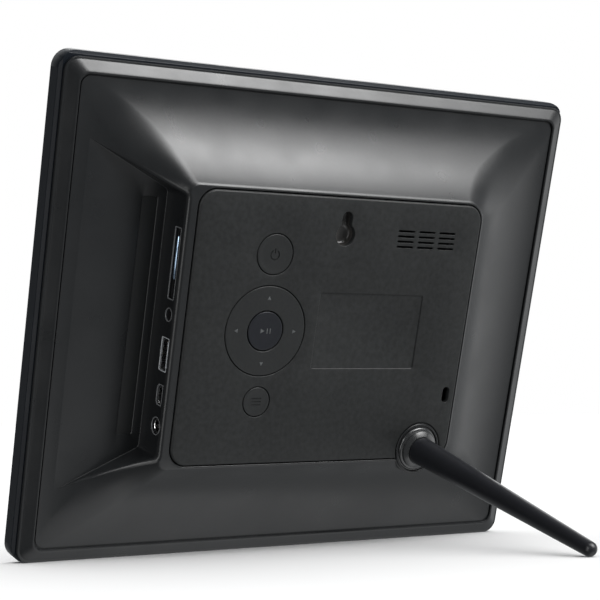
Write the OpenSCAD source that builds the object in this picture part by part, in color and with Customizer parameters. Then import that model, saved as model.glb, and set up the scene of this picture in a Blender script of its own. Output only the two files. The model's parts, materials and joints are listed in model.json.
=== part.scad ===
// Digital photo frame on a swivelling, screw-in stand leg.
//
// Everything is drawn lying on its face and seen from behind: x runs to the right as
// seen from behind, y runs up the frame, and z runs out of its back, with z = 0 at the
// joint between the front bezel and the rear cover. place() then stands the frame up,
// leaning back on its bottom edge and on the tip of the leg.

/* [Frame] */
// Width of the front bezel
frame_w = 245.6; // [205:0.2:300]
// Height of the front bezel
frame_h = 202.6; // [168:0.2:245]
// Corner radius of the rear cover
corner_r = 6; // [4:0.5:9]

/* [Front bezel] */
// Depth of the bezel in front of the joint
bezel_depth = 8.1; // [8:0.1:12]
// How far the bezel stands out beyond the rear cover
bezel_lip = 1.3; // [0.8:0.1:2]
// Thickness of the bezel's side wall
bezel_wall = 3.3; // [3:0.1:4]
// Thickness of the bezel's front wall
bezel_face = 2.7; // [2.4:0.1:4]
// Thickness of the clear front window
window_t = 1.5; // [1:0.1:1.8]
// Border of bezel round the window
window_border = 9; // [6:0.5:12]
// Border of bezel and window round the screen opening
screen_border = 24; // [22:0.5:30]
// Extra border above and below the screen opening
screen_border_extra = 2.8; // [0:0.1:6]

/* [Display] */
// Edge of the glass hidden behind the bezel
glass_overlap = 3.2; // [2:0.1:5]
// Thickness of the display glass
glass_t = 2; // [1.4:0.1:2.2]
// Thickness of the backlight tray
tray_t = 3.2; // [2.4:0.1:3.4]
// How far the tray stands out round the glass
tray_rim = 1; // [0.5:0.1:1.5]
// Thickness of the sheet-metal brackets
bracket_t = 0.8; // [0.6:0.1:0.8]

/* [Rear cover] */
// Height of the raised plateau above the joint
cover_depth = 21.2; // [20.8:0.1:21.6]
// Wall thickness of the rear cover
cover_wall = 2; // [1.8:0.1:2.2]
// Height of the straight side wall
side_h = 2; // [1.5:0.1:2.5]
// Width of the small ledge outside the bevel
ledge_in = 1; // [0.6:0.1:1.5]
// Width of the bevelled rim, measured from the outside
rim_in = 6.3; // [5:0.1:8]
// Height of the bevelled rim
rim_h = 4.3; // [4:0.1:4.5]
// Height where the hollow flare starts
flare_h = 3.6; // [3.4:0.1:3.8]
// Slope of the flare where it starts, in degrees
flare_start = 4; // [2:0.5:6]

/* [Back plate] */
// Width of the back plate
plate_w = 138; // [134:0.5:142]
// Height of the back plate
plate_h = 111.6; // [110:0.2:116]
// Corner radius of the back plate
plate_r = 7.5; // [6:0.5:9]
// Thickness of the back plate
plate_t = 2.2; // [2:0.1:2.4]
// How far the plate stands proud of the plateau
plate_proud = 0.8; // [0.5:0.1:1]
// Flat land on the plateau at the side away from the sockets
land_side = 1.3; // [1:0.1:2]
// Flat land above and below the plate
land_top = 1.7; // [1:0.1:2]
// Flat land between the plate and the socket wall
land_port = 5.1; // [4.5:0.1:6]
// Width of the seat under the plate's edge
seat_w = 6; // [5:0.5:6]
// Play round each piece that drops into another
gap = 0.3; // [0.2:0.05:0.4]

/* [Socket pocket] */
// Height of the pocket's floor above the joint
pocket_floor = 4.2; // [4:0.1:4.4]
// Distance from the plateau's end to the pocket's end at the socket wall
pocket_end = 5; // [4.5:0.5:8]
// How much the pocket's half height grows at its outer end
pocket_splay = 20; // [10:0.5:22]
// Height of all socket centres above the joint
socket_z = 16.3; // [16:0.1:16.4]
// Height of the card slot's centre up the frame
card_y = 25.2; // [25:0.1:26]
// Height of the audio jack's centre
audio_y = 4.8; // [4:0.1:5.5]
// Height of the USB socket's centre
usb_y = -11.2; // [-12:0.1:-10.5]
// Height of the mini-USB socket's centre
mini_y = -27.6; // [-28.5:0.1:-26.5]
// Height of the power inlet's centre
dc_y = -40.4; // [-41:0.1:-39]

/* [Keys] */
// Distance of the key column from the middle of the back plate
keys_x = 32.3; // [31:0.1:33]
// Radius of the four-way key ring
ring_r = 18.5; // [17:0.1:19]
// Radius of the play key inside the ring
play_r = 8; // [7:0.1:8.5]
// Radius of the power key
power_r = 8.2; // [7:0.1:8.4]
// Space between the ring and the power key
power_space = 4.7; // [4.2:0.1:6]
// Radius of the menu key
menu_r = 6.1; // [5:0.1:6.5]
// Space between the ring and the menu key
menu_space = 4.9; // [4.2:0.1:6]
// Travel of the three push keys
key_travel = 0.5; // [0.3:0.05:0.5]
// Tip of the four-way ring, in degrees
ring_tip = 2.5; // [1:0.1:2.5]

/* [Back plate openings] */
// Radius of the keyhole's round end
keyhole_r = 4.6; // [4:0.1:5]
// Height of the keyhole's round end
keyhole_y = 40.6; // [40:0.1:41]
// Half width of the keyhole's slot
keyhole_slot_r = 2.5; // [2:0.1:3]
// Distance from the round end to the end of the slot
keyhole_rise = 7.1; // [6:0.1:7.5]
// Depth of the cup behind the keyhole
keyhole_depth = 5; // [4:0.1:5.4]
// Middle of the speaker grille, across
grille_x = 41.2; // [40:0.1:43]
// Middle of the speaker grille, up
grille_y = 40.1; // [39:0.1:40.4]
// Length of one grille slot
grille_slot = 8.3; // [7:0.1:9]
// Height of one grille slot
grille_slot_h = 0.9; // [0.6:0.1:1.1]
// Spacing of the grille's columns
grille_dx = 10.6; // [10:0.1:11]
// Spacing of the grille's rows
grille_dy = 2.2; // [1.8:0.1:2.3]
// Depth of the blank label recess
label_depth = 0.4; // [0.2:0.1:0.6]

/* [Stand] */
// Distance of the stand's middle from the back plate's side edge
stand_in_x = 15.7; // [14:0.1:18]
// Distance of the stand's middle from the back plate's lower edge
stand_in_y = 4.2; // [3:0.1:6]
// Radius of the swivelling turret
turret_r = 10.2; // [9.8:0.1:10.6]
// Wall of the housing round the turret
boss_wall = 0.92; // [0.8:0.01:1.4]
// Running play of the turret in its housing
turret_play = 0.08; // [0.04:0.01:0.1]
// Length of the leg from its seat to the middle of its round tip
leg_l = 113.5; // [95:0.5:150]
// Radius of the leg at its seat
leg_base_r = 6.1; // [5:0.1:6.3]
// Radius of the leg's round tip
leg_tip_r = 3.1; // [2.5:0.1:4]
// Tilt of the leg below the line square to the back, in degrees
leg_tilt = 3; // [0:0.5:6]
// Radius of the leg's threaded stud
stud_r = 2.42; // [2:0.01:2.6]
// Length of the leg's threaded stud
stud_l = 7.5; // [5:0.5:7.5]

/* [Hidden] */

$fn = 96;
eps = 0.01;
long = 400;

// Rear cover and plateau
cover_w = frame_w - 2 * bezel_lip;
cover_h = frame_h - 2 * bezel_lip;
bezel_corner_r = corner_r + bezel_lip;
bezel_chamfer = bezel_lip;
flare_in = rim_in + 0.2;
flare_rise = cover_depth - flare_h;
rim_overlap = 0.3;
ledge_rise = 0.2;
plateau_port = plate_w / 2 + land_port;
plateau_side = plate_w / 2 + land_side;
plateau_top = plate_h / 2 + land_top;
plate_z1 = cover_depth + plate_proud;
plate_z0 = plate_z1 - plate_t;
seat_t = 1.8;
seat_z0 = plate_z0 - seat_t;
plate_chamfer = 0.5;
pocket_half = plateau_top - pocket_end;

// Bezel, window and display, from the front to the back
bezel_z0 = -bezel_depth;
window_w = frame_w - 2 * window_border;
window_h = frame_h - 2 * window_border;
window_r = 3;
bezel_in_z = bezel_z0 + bezel_face;
screen_w = frame_w - 2 * screen_border;
screen_h = frame_h - 2 * (screen_border + screen_border_extra);
glass_w = screen_w + 2 * glass_overlap;
glass_h = screen_h + 2 * glass_overlap;
glass_z1 = bezel_in_z + glass_t;
tray_w = glass_w + 2 * tray_rim;
tray_h = glass_h + 2 * tray_rim;
tray_z1 = glass_z1 + tray_t;
rib_t = 1.5;
rib_h = 3;
rib_gap = 0.4;

// Brackets that clamp the display to the bezel, one near each corner
bracket_over = 4;
bracket_w = 9;
bracket_post_r = 3;
bracket_post_x = tray_w / 2 + rib_gap + rib_t + bracket_post_r + 0.4;
bracket_y = screen_h / 2 - 20.9;
bracket_spots = [for (x = [-1, 1], y = [-1, 1]) [x * bracket_post_x, y * bracket_y]];
bracket_screw_r = 0.95;
bracket_head_r = 1.9;
bracket_head_h = 1;
bracket_screw_bite = 3;
screw_play = 0.05;
hole_play = 0.3;

// Snap tabs of the rear cover behind the bezel's wall
tab_l = 10;
tab_t = 1.5;
tab_depth = 4;
tab_count = 3;
tab_in = bezel_wall - bezel_lip + gap;
rim_inner_in = tab_in + tab_t + 0.2;

// Screws that hold the back plate from the inside
plate_screw_in = 3;
plate_screw_r = 1;
plate_screw_head_r = 1.9;
plate_screw_head_h = 1.3;
plate_screw_bite = 1.5;
plate_edge_x = plate_w / 2 - plate_screw_in;
plate_edge_y = plate_h / 2 - plate_screw_in;
plate_corner_x = plate_edge_x - 6;
plate_screw_spots = [
    [-plate_corner_x, plate_edge_y], [-30, plate_edge_y], [30, plate_edge_y],
    [-plate_corner_x, -plate_edge_y], [-20, -plate_edge_y], [20, -plate_edge_y],
    [plate_edge_x, 30], [plate_edge_x, -8]
];

// Main board; its back face carries the sockets and the key switches
wall_x = -plateau_port;
wall_in_x = wall_x + cover_wall;
bay_half = pocket_half - cover_wall - 0.9;
board_x0 = wall_in_x + 1.6;
board_x1 = -7.5;
board_y0 = 0.6 - bay_half;
board_y1 = bay_half - 2.6;
board_t = 1.6;
board_z1 = 13.4;
board_z0 = board_z1 - board_t;
board_boss_r = 2.6;
board_boss_in = 3.8;
board_boss_spots = [
    [board_x1 - board_boss_in, board_y1 - 5], [board_x0 + 4.5, board_y1 - 3.5],
    [board_x1 - board_boss_in, board_y0 + 4], [board_x0 + 16.5, board_y0 + 4]
];
board_screw_r = 1.25;
board_head_r = 2.6;
board_head_h = 1.6;
board_screw_bite = 4.5;
screw_end_room = 0.1;

// Sockets: how far each stands back from the outer face of the wall
socket_back = 0.6;
card_w = 28;
card_h = 3.6;
card_depth = 19;
card_slot_w = 25;
card_slot_h = 2.4;
card_frame_h = 4.8;
audio_bore_r = 1.8;
audio_nose_r = 2.3;
audio_body = [12, 6.4, 5];
nose_root = 1;
audio_end = 1;
usb_w = 13.1;
usb_h = 5.7;
usb_depth = 14;
usb_wall = 0.3;
usb_tongue_t = 1.8;
usb_tongue_w = 10.7;
usb_tongue_gap = 0.6;
usb_tongue_back = 1;
usb_base = 3;
mini_w = 7.7;
mini_h = 3.9;
mini_depth = 9;
mini_wall = 0.3;
mini_taper = 1.2;
mini_tongue_t = 0.8;
mini_tongue_w = 4.5;
mini_tongue_back = 0.8;
dc_bore_r = 2.65;
dc_nose_r = 3.2;
dc_body = [11, 8.6, 5.7];
dc_pin_r = 0.85;
dc_pin_back = 0.5;
dc_end = 1.5;

// Display cable and its connector under the board
ribbon_x = -24;
ribbon_y = -34;
ribbon_w = 18;
ribbon_t = 0.3;
ribbon_reach = 14;
connector_w = 22;
connector_l = 4;
connector_t = 1.5;

// Blank strip for socket labels on the pocket's floor
strip_x = -81.4;
strip_y = 1;
strip_w = 6.8;
strip_h = 96;
strip_depth = 0.25;

// Blank label recess on the back plate
label_x = 17.9;
label_y = 0.4;
label_w = 52;
label_h = 31.8;
label_r = 1;

// Lock slot in the back plate
lock_x = 64.1;
lock_y = -27.4;
lock_w = 3.6;
lock_h = 7;

// Keys and switches
keys_at = -keys_x;
key_top_z = plate_z1;
key_cap_t = 2;
key_play = 0.35;
ring_play = 0.45;
switch_body = 6;
switch_h = 2.4;
switch_top = board_z1 + switch_h;
plunger_r = 1.7;
plunger_play = 0.1;
plunger_z0 = switch_top - 0.6;
plunger_z1 = switch_top + key_travel + 0.05;
plunger_well_z = plunger_z0 - key_travel - 0.2;
stem_r = 2;
power_y = ring_r + power_space + power_r;
menu_y = -ring_r - menu_space - menu_r;
key_flange = 1;
key_flange_t = 1.2;
key_flange_z1 = plate_z0 - 0.1;
ring_inner_r = play_r + ring_play;
play_flange_r = ring_inner_r + 0.8;
ring_switch_r = max((ring_inner_r + ring_r) / 2, play_flange_r + switch_body / 2 + gap);
ring_flange_r = ring_r + 1.3;
ring_flange_z1 = plate_z0 - 1.4;
ring_z0 = ring_flange_z1 - 1.4;
ring_stem_z0 = plunger_z1 + (ring_switch_r + stem_r) * sin(ring_tip) + 0.06;
key_skirt = 1.2;
play_flange_z1 = ring_z0 - 0.6;
play_flange_z0 = play_flange_z1 - 0.9;
play_flange_in = 2;
hinge_ring_r0 = ring_flange_r + 0.7;
hinge_ring_r1 = hinge_ring_r0 + 1.3;
hinge_ring_z1 = ring_flange_z1;
hinge_tab_w = 4;
hinge_tab_gap = 0.35;
hinge_post_t = 1.6;
hinge_post_w = 6;
cap_dish = 0.25;
dish_rim_out = 0.8;
dish_rim_in = 1.6;
four_ways = [[0, 1], [1, 0], [0, -1], [-1, 0]];
switch_spots = concat(
    [[0, power_y], [0, menu_y], [0, 0]],
    [for (d = four_ways) ring_switch_r * d]
);

// Keyhole cup
cup_wall = 1.2;
cup_room = 0.7;
cup_half_w = keyhole_r + cup_room;
cup_y0 = keyhole_y - keyhole_r - cup_room;
cup_y1 = keyhole_y + keyhole_rise + keyhole_slot_r + cup_room;
cup_z0 = plate_z0 - keyhole_depth;

// Speaker behind the grille: a long oval
speaker_w = 34;
speaker_h = 16;
speaker_wall = 1;
gasket_t = 0.8;
speaker_frame_t = 1.2;
speaker_z1 = plate_z0 - gasket_t;
speaker_basket_h = 3;
speaker_magnet_size = [13, 11, 2.5];
speaker_rim = 2;
speaker_basket_in = 2;
speaker_floor = 0.8;
speaker_rim_floor = 0.5;
gasket_w = 1;
coil_r = 3;
coil_l = 1.4;
cone_play = 0.1;
cone_t = 0.3;
wire_r = 0.5;
wire_bead_r = 0.56;
wire_gap = 2.4;
wire_drop = 4;
wire_slope = 10;
wire_end = 4;

// Stand
stand_x = plate_w / 2 - stand_in_x;
stand_y = stand_in_y - plate_h / 2;
boss_r = turret_r + turret_play + boss_wall;
boss_floor_z0 = 14.6;
boss_floor_z1 = 16;
boss_floor_r = 5.5;
boss_low_r = boss_r + 1.2;
boss_low_z1 = 17;
turret_z0 = boss_floor_z1 + 0.05;
turret_z1 = plate_z1 - 0.9;
spigot_r = boss_floor_r - turret_play;
spigot_z0 = boss_floor_z0 - gap;
dome_r = turret_r - 0.5;
dome_h = 4.2;
dome_sphere_r = 14;
dome_crown = 1.6;
dome_z = turret_z1 - 0.7;
insert_r = 4;
insert_l = 8.5;
stud_play = 0.06;
stud_seat_play = 0.04;
washer_r = 8.6;
washer_t = 1.2;
spring_t = 0.24;
spring_in = 0.2;
spring_out = 0.6;
stand_screw_r = 1.4;
stand_screw_head_r = 3;
stand_screw_head_h = 1.5;
stand_screw_bite = 1.9;
stud_in_leg = 9;

// Where the tip of the leg lies before the frame is stood up, and the lean that puts
// the tip and the bezel's bottom edge on one plane
tip_y = stand_y - (dome_h + leg_l) * sin(leg_tilt);
tip_z = dome_z + (dome_h + leg_l) * cos(leg_tilt);
foot_y = -frame_h / 2;
foot_z = -bezel_chamfer;
rise_y = tip_y - foot_y;
reach_z = tip_z - foot_z;
lean = acos(leg_tip_r / norm([rise_y, reach_z])) - atan2(reach_z, rise_y);

// Origin: middle of the width and of the depth, on the surface that it stands on
low_front_y = foot_y * sin(lean) + bezel_z0 * cos(lean);
tip_back_y = tip_y * sin(lean) + tip_z * cos(lean) + leg_tip_r;
origin_y = -(low_front_y + tip_back_y) / 2;
origin_z = -(foot_y * cos(lean) - foot_z * sin(lean));

module place() {
    translate([0, origin_y, origin_z])
        rotate([-lean, 0, 0])
            rotate([90, 0, 180])
                children();
}

// ---- shared shapes ----

module round_rect(w, h, r) {
    square([w - 2 * r, h], center = true);
    square([w, h - 2 * r], center = true);
    for (x = [-1, 1], y = [-1, 1])
        translate([x * (w / 2 - r), y * (h / 2 - r)])
            circle(r);
}

// A flat slab with round corners between two heights
module slab(w, h, r, z0, z1) {
    translate([0, 0, z0])
        linear_extrude(z1 - z0)
            round_rect(w, h, r);
}

// A box between two heights, centred on x and y
module block(w, h, z0, z1) {
    translate([-w / 2, -h / 2, z0])
        cube([w, h, z1 - z0]);
}

module rod(r, z0, z1) {
    translate([0, 0, z0])
        cylinder(r = r, h = z1 - z0);
}

module tube(r0, r1, z0, z1) {
    difference() {
        rod(r1, z0, z1);
        rod(r0, z0 - 1, z1 + 1);
    }
}

// A long oval: a bar with half-round ends
module oval(w, h) {
    square([w - h, h], center = true);
    for (x = [-1, 1])
        translate([x * (w - h) / 2, 0])
            circle(h / 2);
}

module oval_slab(w, h, z0, z1) {
    translate([0, 0, z0])
        linear_extrude(z1 - z0)
            oval(w, h);
}

// A section in x and z, drawn out along y, and one in y and z, drawn out along x
module along_y() {
    rotate([90, 0, 0])
        linear_extrude(long, center = true)
            children();
}

module along_x() {
    rotate([90, 0, 90])
        linear_extrude(long, center = true)
            children();
}

// A rod that points out of the socket wall
module wall_rod(r, x0, x1) {
    translate([x0, 0, 0])
        rotate([0, 90, 0])
            cylinder(r = r, h = x1 - x0);
}

module at(spot) {
    translate([spot[0], spot[1], 0])
        children();
}

module at_keys(y = 0) {
    translate([keys_at, y, 0])
        children();
}

module at_stand() {
    translate([stand_x, stand_y, 0])
        children();
}

// The leg's own axis: z runs from the middle of the dome's foot towards the tip
module leg_axis() {
    translate([stand_x, stand_y, dome_z])
        rotate([leg_tilt, 0, 0])
            children();
}

// A pan-head screw whose head lies on the side of low z
module screw(r, head_r, head_h, z, bite) {
    rod(head_r, z - head_h, z);
    rod(r, z - eps, z + bite);
}

// ---- front ----

module bezel_section(half) {
    polygon([
        [-half, bezel_z0], [-half, -bezel_chamfer], [-half + bezel_chamfer, 0],
        [half - bezel_chamfer, 0], [half, -bezel_chamfer], [half, bezel_z0]
    ]);
}

module bezel_shell() {
    intersection() {
        slab(frame_w, frame_h, bezel_corner_r, bezel_z0, 0);
        along_y()
            bezel_section(frame_w / 2);
        along_x()
            bezel_section(frame_h / 2);
    }
}

module display_ribs() {
    in_w = tray_w + 2 * rib_gap;
    in_h = tray_h + 2 * rib_gap;
    difference() {
        block(in_w + 2 * rib_t, in_h + 2 * rib_t, bezel_in_z - eps, bezel_in_z + rib_h);
        block(in_w, in_h, bezel_in_z - 1, bezel_in_z + rib_h + 1);
    }
}

module front_bezel() {
    color([0.05, 0.055, 0.065])
        difference() {
            union() {
                difference() {
                    bezel_shell();
                    slab(frame_w - 2 * bezel_wall, frame_h - 2 * bezel_wall,
                         bezel_corner_r - bezel_wall, bezel_in_z, 1);
                }
                display_ribs();
                for (spot = bracket_spots)
                    at(spot)
                        rod(bracket_post_r, bezel_in_z - eps, tray_z1);
            }
            slab(window_w + gap, window_h + gap, window_r, bezel_z0 - 1, bezel_z0 + window_t);
            block(screen_w, screen_h, bezel_z0 - 1, bezel_in_z + 1);
            for (spot = bracket_spots)
                at(spot)
                    rod(bracket_screw_r + screw_play,
                        tray_z1 - bracket_screw_bite - screw_end_room, tray_z1 + 1);
        }
}

module front_window() {
    color([0.1, 0.1, 0.12, 0.5])
        slab(window_w, window_h, window_r, bezel_z0, bezel_z0 + window_t);
}

module lcd_glass() {
    color([0.03, 0.03, 0.04])
        block(glass_w, glass_h, bezel_in_z, glass_z1);
}

module lcd_backlight() {
    color([0.75, 0.76, 0.77])
        block(tray_w, tray_h, glass_z1, tray_z1);
}

module lcd_brackets() {
    reach = bracket_post_x - tray_w / 2 + bracket_over;
    color([0.7, 0.71, 0.72])
        for (spot = bracket_spots)
            at(spot)
                difference() {
                    translate([-sign(spot[0]) * (reach - bracket_post_r) / 2, 0, 0])
                        block(reach + bracket_post_r, bracket_w, tray_z1, tray_z1 + bracket_t);
                    rod(bracket_screw_r + hole_play, tray_z1 - 1, tray_z1 + bracket_t + 1);
                }
}

module bracket_screws() {
    color([0.55, 0.56, 0.58])
        for (spot = bracket_spots)
            at(spot) {
                rod(bracket_head_r, tray_z1 + bracket_t, tray_z1 + bracket_t + bracket_head_h);
                rod(bracket_screw_r, tray_z1 - bracket_screw_bite, tray_z1 + bracket_t + eps);
            }
}

// ---- rear cover ----

function flare_run(half, plateau) = half - flare_in - plateau;
function flare_chord(run) = atan(flare_rise / run);
function flare_r(run) = norm([run, flare_rise]) / (2 * sin(flare_chord(run) - flare_start));

// The plateau with its two hollow flares in section; t draws it smaller all round
module flare_section(half, plateau_low, plateau_high, t) {
    difference() {
        translate([-half + t, -1])
            square([2 * (half - t), cover_depth - t + 1]);
        for (side = [[-1, plateau_low], [1, plateau_high]]) {
            r = flare_r(flare_run(half, side[1]));
            translate([side[0] * (half - flare_in + r * sin(flare_start)),
                       flare_h + r * cos(flare_start)])
                circle(r + t, $fn = 240);
        }
    }
}

module flared_body(t, edge_in) {
    intersection() {
        slab(cover_w - 2 * edge_in, cover_h - 2 * edge_in, 2, 0, cover_depth);
        along_y()
            flare_section(cover_w / 2, plateau_port, plateau_side, t);
        along_x()
            flare_section(cover_h / 2, plateau_top, plateau_top, t);
    }
}

module rim_section(half) {
    polygon([
        [-half, 0], [-half, side_h], [-half + ledge_in, side_h + ledge_rise],
        [-half + rim_in, rim_h], [half - rim_in, rim_h],
        [half - ledge_in, side_h + ledge_rise], [half, side_h], [half, 0]
    ]);
}

module rim() {
    difference() {
        intersection() {
            slab(cover_w, cover_h, corner_r, 0, rim_h);
            along_y()
                rim_section(cover_w / 2);
            along_x()
                rim_section(cover_h / 2);
        }
        slab(cover_w - 2 * rim_in, cover_h - 2 * rim_in, 2, -1, rim_h + 1);
    }
}

// The pocket in plan; grow moves its three walls outwards
module pocket_plan(grow) {
    outer_x = -cover_w / 2 + rim_in;
    angle = atan(pocket_splay / (wall_x - outer_x));
    lift = grow / cos(angle);
    in_half = pocket_half - grow * tan(angle) + lift;
    out_half = pocket_half + pocket_splay + grow * tan(angle) + lift;
    polygon([
        [wall_x + grow, -in_half], [wall_x + grow, in_half],
        [outer_x - grow, out_half], [outer_x - grow, -out_half]
    ]);
}

module pocket_walls() {
    translate([0, 0, pocket_floor - cover_wall])
        linear_extrude(cover_depth)
            pocket_plan(cover_wall);
}

module pocket_space() {
    translate([0, 0, pocket_floor])
        linear_extrude(cover_depth)
            pocket_plan(0);
}

// Room cut through the seat for what hangs behind the back plate
module seat_room(port_x) {
    translate([port_x, -bay_half, seat_z0 - 1])
        cube([-port_x, 2 * bay_half, seat_t + 2]);
    translate([-cup_half_w - cup_wall - gap, cup_y0 - cup_wall - gap, seat_z0 - 1])
        cube([2 * (cup_half_w + cup_wall + gap),
              cup_y1 - cup_y0 + 2 * (cup_wall + gap), seat_t + 2]);
    translate([lock_x, lock_y, 0])
        block(lock_w + 2, lock_h + 2, seat_z0 - 1, plate_z0 + 1);
}

// The seat under the edge of the back plate
module plate_seat() {
    difference() {
        slab(plate_w + 2 * gap + 2, plate_h + 2 * gap + 2, plate_r + 1, seat_z0, plate_z0);
        slab(plate_w - 2 * seat_w, plate_h - 2 * seat_w, 2, seat_z0 - 1, plate_z0 + 1);
        seat_room(wall_in_x);
    }
}

module port_holes() {
    depth = cover_wall + 2;
    middle_x = wall_x + cover_wall / 2;
    translate([middle_x, card_y, socket_z])
        cube([depth, card_w + gap, card_frame_h], center = true);
    translate([0, audio_y, socket_z])
        wall_rod(audio_nose_r + gap, middle_x - depth / 2, middle_x + depth / 2);
    translate([middle_x, usb_y, socket_z])
        cube([depth, usb_w + 2 * gap, usb_h + 2 * gap], center = true);
    translate([0, mini_y, socket_z])
        mini_prism(gap, middle_x - depth / 2, middle_x + depth / 2);
    translate([0, dc_y, socket_z])
        wall_rod(dc_nose_r + gap, middle_x - depth / 2, middle_x + depth / 2);
}

module snap_tabs() {
    x = cover_w / 2 - tab_in - tab_t / 2;
    y = cover_h / 2 - tab_in - tab_t / 2;
    for (side = [-1, 1], i = [0:tab_count - 1]) {
        share = (i + 0.5) / tab_count - 0.5;
        translate([side * x, share * cover_h, 0])
            block(tab_t, tab_l, -tab_depth, 1);
        translate([share * cover_w, side * y, 0])
            block(tab_l, tab_t, -tab_depth, 1);
    }
}

module stand_housing() {
    rod(boss_low_r, boss_floor_z0, boss_low_z1);
    rod(boss_r, boss_floor_z0, plate_z1);
}

module rear_cover() {
    color([0.16, 0.165, 0.17])
        difference() {
            union() {
                difference() {
                    union() {
                        rim();
                        flared_body(0, rim_in - rim_overlap);
                    }
                    difference() {
                        translate([0, 0, -eps])
                            flared_body(cover_wall, rim_inner_in);
                        pocket_walls();
                        plate_seat();
                    }
                    pocket_space();
                    slab(plate_w + 2 * gap, plate_h + 2 * gap, plate_r + gap,
                         plate_z0, plate_z1 + 1);
                    slab(plate_w - 2 * seat_w, plate_h - 2 * seat_w, 2,
                         seat_z0 - 1, plate_z1 + 1);
                    seat_room(-plate_w / 2 - gap);
                }
                at_stand()
                    stand_housing();
                snap_tabs();
            }
            port_holes();
            translate([strip_x, strip_y, 0])
                block(strip_w, strip_h, pocket_floor - strip_depth, pocket_floor + 1);
            at_stand() {
                rod(turret_r + turret_play, boss_floor_z1, plate_z1 + 1);
                rod(boss_floor_r, boss_floor_z0 - 1, plate_z1);
                rod(washer_r + gap, spigot_z0 - washer_t - gap, boss_floor_z0);
            }
            for (spot = plate_screw_spots)
                at(spot)
                    rod(plate_screw_r + hole_play, seat_z0 - 1, plate_z0 + 1);
        }
}

// ---- back plate ----

module keyhole() {
    rod(keyhole_r, plate_z0 - 1, plate_z1 + 1);
    translate([0, keyhole_rise / 2, 0])
        block(2 * keyhole_slot_r, keyhole_rise, plate_z0 - 1, plate_z1 + 1);
    translate([0, keyhole_rise, 0])
        rod(keyhole_slot_r, plate_z0 - 1, plate_z1 + 1);
}

module keyhole_cup() {
    y = (cup_y0 + cup_y1) / 2;
    h = cup_y1 - cup_y0;
    translate([0, y, 0])
        difference() {
            block(2 * (cup_half_w + cup_wall), h + 2 * cup_wall,
                  cup_z0 - cup_wall, plate_z0 + eps);
            block(2 * cup_half_w, h, cup_z0, plate_z0 + 1);
        }
}

module grille_slots() {
    for (column = [-1:1], row = [-1.5:1.5])
        translate([grille_x + column * grille_dx, grille_y + row * grille_dy, 0])
            block(grille_slot, grille_slot_h, plate_z0 - 1, plate_z1 + 1);
}

module plate_section(half) {
    polygon([
        [-half, plate_z0], [-half, plate_z1 - plate_chamfer],
        [-half + plate_chamfer, plate_z1], [half - plate_chamfer, plate_z1],
        [half, plate_z1 - plate_chamfer], [half, plate_z0]
    ]);
}

// Posts either side of the hinge ring's lugs
module hinge_posts() {
    x = hinge_ring_r1 + hinge_tab_gap;
    for (side = [-1, 1])
        translate([side * (x + hinge_post_t / 2), 0, 0])
            block(hinge_post_t, hinge_post_w, ring_z0, plate_z0 + eps);
}

module back_plate() {
    color([0.18, 0.185, 0.19])
        difference() {
            union() {
                intersection() {
                    slab(plate_w, plate_h, plate_r, plate_z0, plate_z1);
                    along_y()
                        plate_section(plate_w / 2);
                    along_x()
                        plate_section(plate_h / 2);
                }
                keyhole_cup();
                for (spot = board_boss_spots)
                    at(spot)
                        rod(board_boss_r, board_z1, plate_z0 + eps);
                translate([grille_x, grille_y, 0])
                    difference() {
                        oval_slab(speaker_w + 2 * (gap + speaker_wall),
                                  speaker_h + 2 * (gap + speaker_wall),
                                  speaker_z1 - speaker_frame_t, plate_z0 + eps);
                        oval_slab(speaker_w + 2 * gap, speaker_h + 2 * gap,
                                  speaker_z1 - speaker_frame_t - 1, plate_z0);
                    }
                at_keys()
                    hinge_posts();
            }
            at_keys(power_y)
                rod(power_r + key_play, plate_z0 - 1, plate_z1 + 1);
            at_keys(menu_y)
                rod(menu_r + key_play, plate_z0 - 1, plate_z1 + 1);
            at_keys()
                rod(ring_r + key_play, plate_z0 - 1, plate_z1 + 1);
            translate([0, keyhole_y, 0])
                keyhole();
            grille_slots();
            translate([label_x, label_y, 0])
                slab(label_w, label_h, label_r, plate_z1 - label_depth, plate_z1 + 1);
            translate([lock_x, lock_y, 0])
                rotate([0, 0, 90])
                    oval_slab(lock_h, lock_w, plate_z0 - 1, plate_z1 + 1);
            at_stand()
                rod(boss_r + gap, plate_z0 - 1, plate_z1 + 1);
            for (spot = board_boss_spots)
                at(spot)
                    rod(board_screw_r + screw_play, board_z1 - 1,
                        board_z1 + board_screw_bite + screw_end_room);
            for (spot = plate_screw_spots)
                at(spot)
                    rod(plate_screw_r + screw_play, plate_z0 - 1,
                        plate_z0 + plate_screw_bite + screw_end_room);
        }
}

module plate_screws() {
    color([0.55, 0.56, 0.58])
        for (spot = plate_screw_spots)
            at(spot)
                screw(plate_screw_r, plate_screw_head_r, plate_screw_head_h,
                      seat_z0, seat_t + plate_screw_bite);
}

// ---- electronics ----

module main_board() {
    w = board_x1 - board_x0;
    h = board_y1 - board_y0;
    color([0.05, 0.3, 0.16])
        difference() {
            translate([board_x0, board_y0, board_z0])
                cube([w, h, board_t]);
            for (spot = board_boss_spots)
                at(spot)
                    rod(board_screw_r + hole_play, board_z0 - 1, board_z1 + 1);
        }
}

module chip(x, y, w, h, t) {
    translate([x, y, 0])
        block(w, h, board_z0 - t, board_z0);
}

module board_chips() {
    color([0.08, 0.08, 0.09]) {
        chip(-36, 12, 16, 16, 1.4);
        chip(-36, -12, 11, 18, 1.1);
        chip(-56, 20, 8, 12, 1.1);
        chip(-58, -38, 7, 7, 3);
        chip(-16, 24, 5, 6, 1.4);
    }
}

module board_screws() {
    color([0.55, 0.56, 0.58])
        for (spot = board_boss_spots)
            at(spot)
                screw(board_screw_r, board_head_r, board_head_h,
                      board_z0, board_t + board_screw_bite);
}

// Each socket is drawn with x = 0 at the outer face of the wall and z = 0 at its centre
module at_socket(y) {
    translate([wall_x, y, socket_z])
        children();
}

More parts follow.
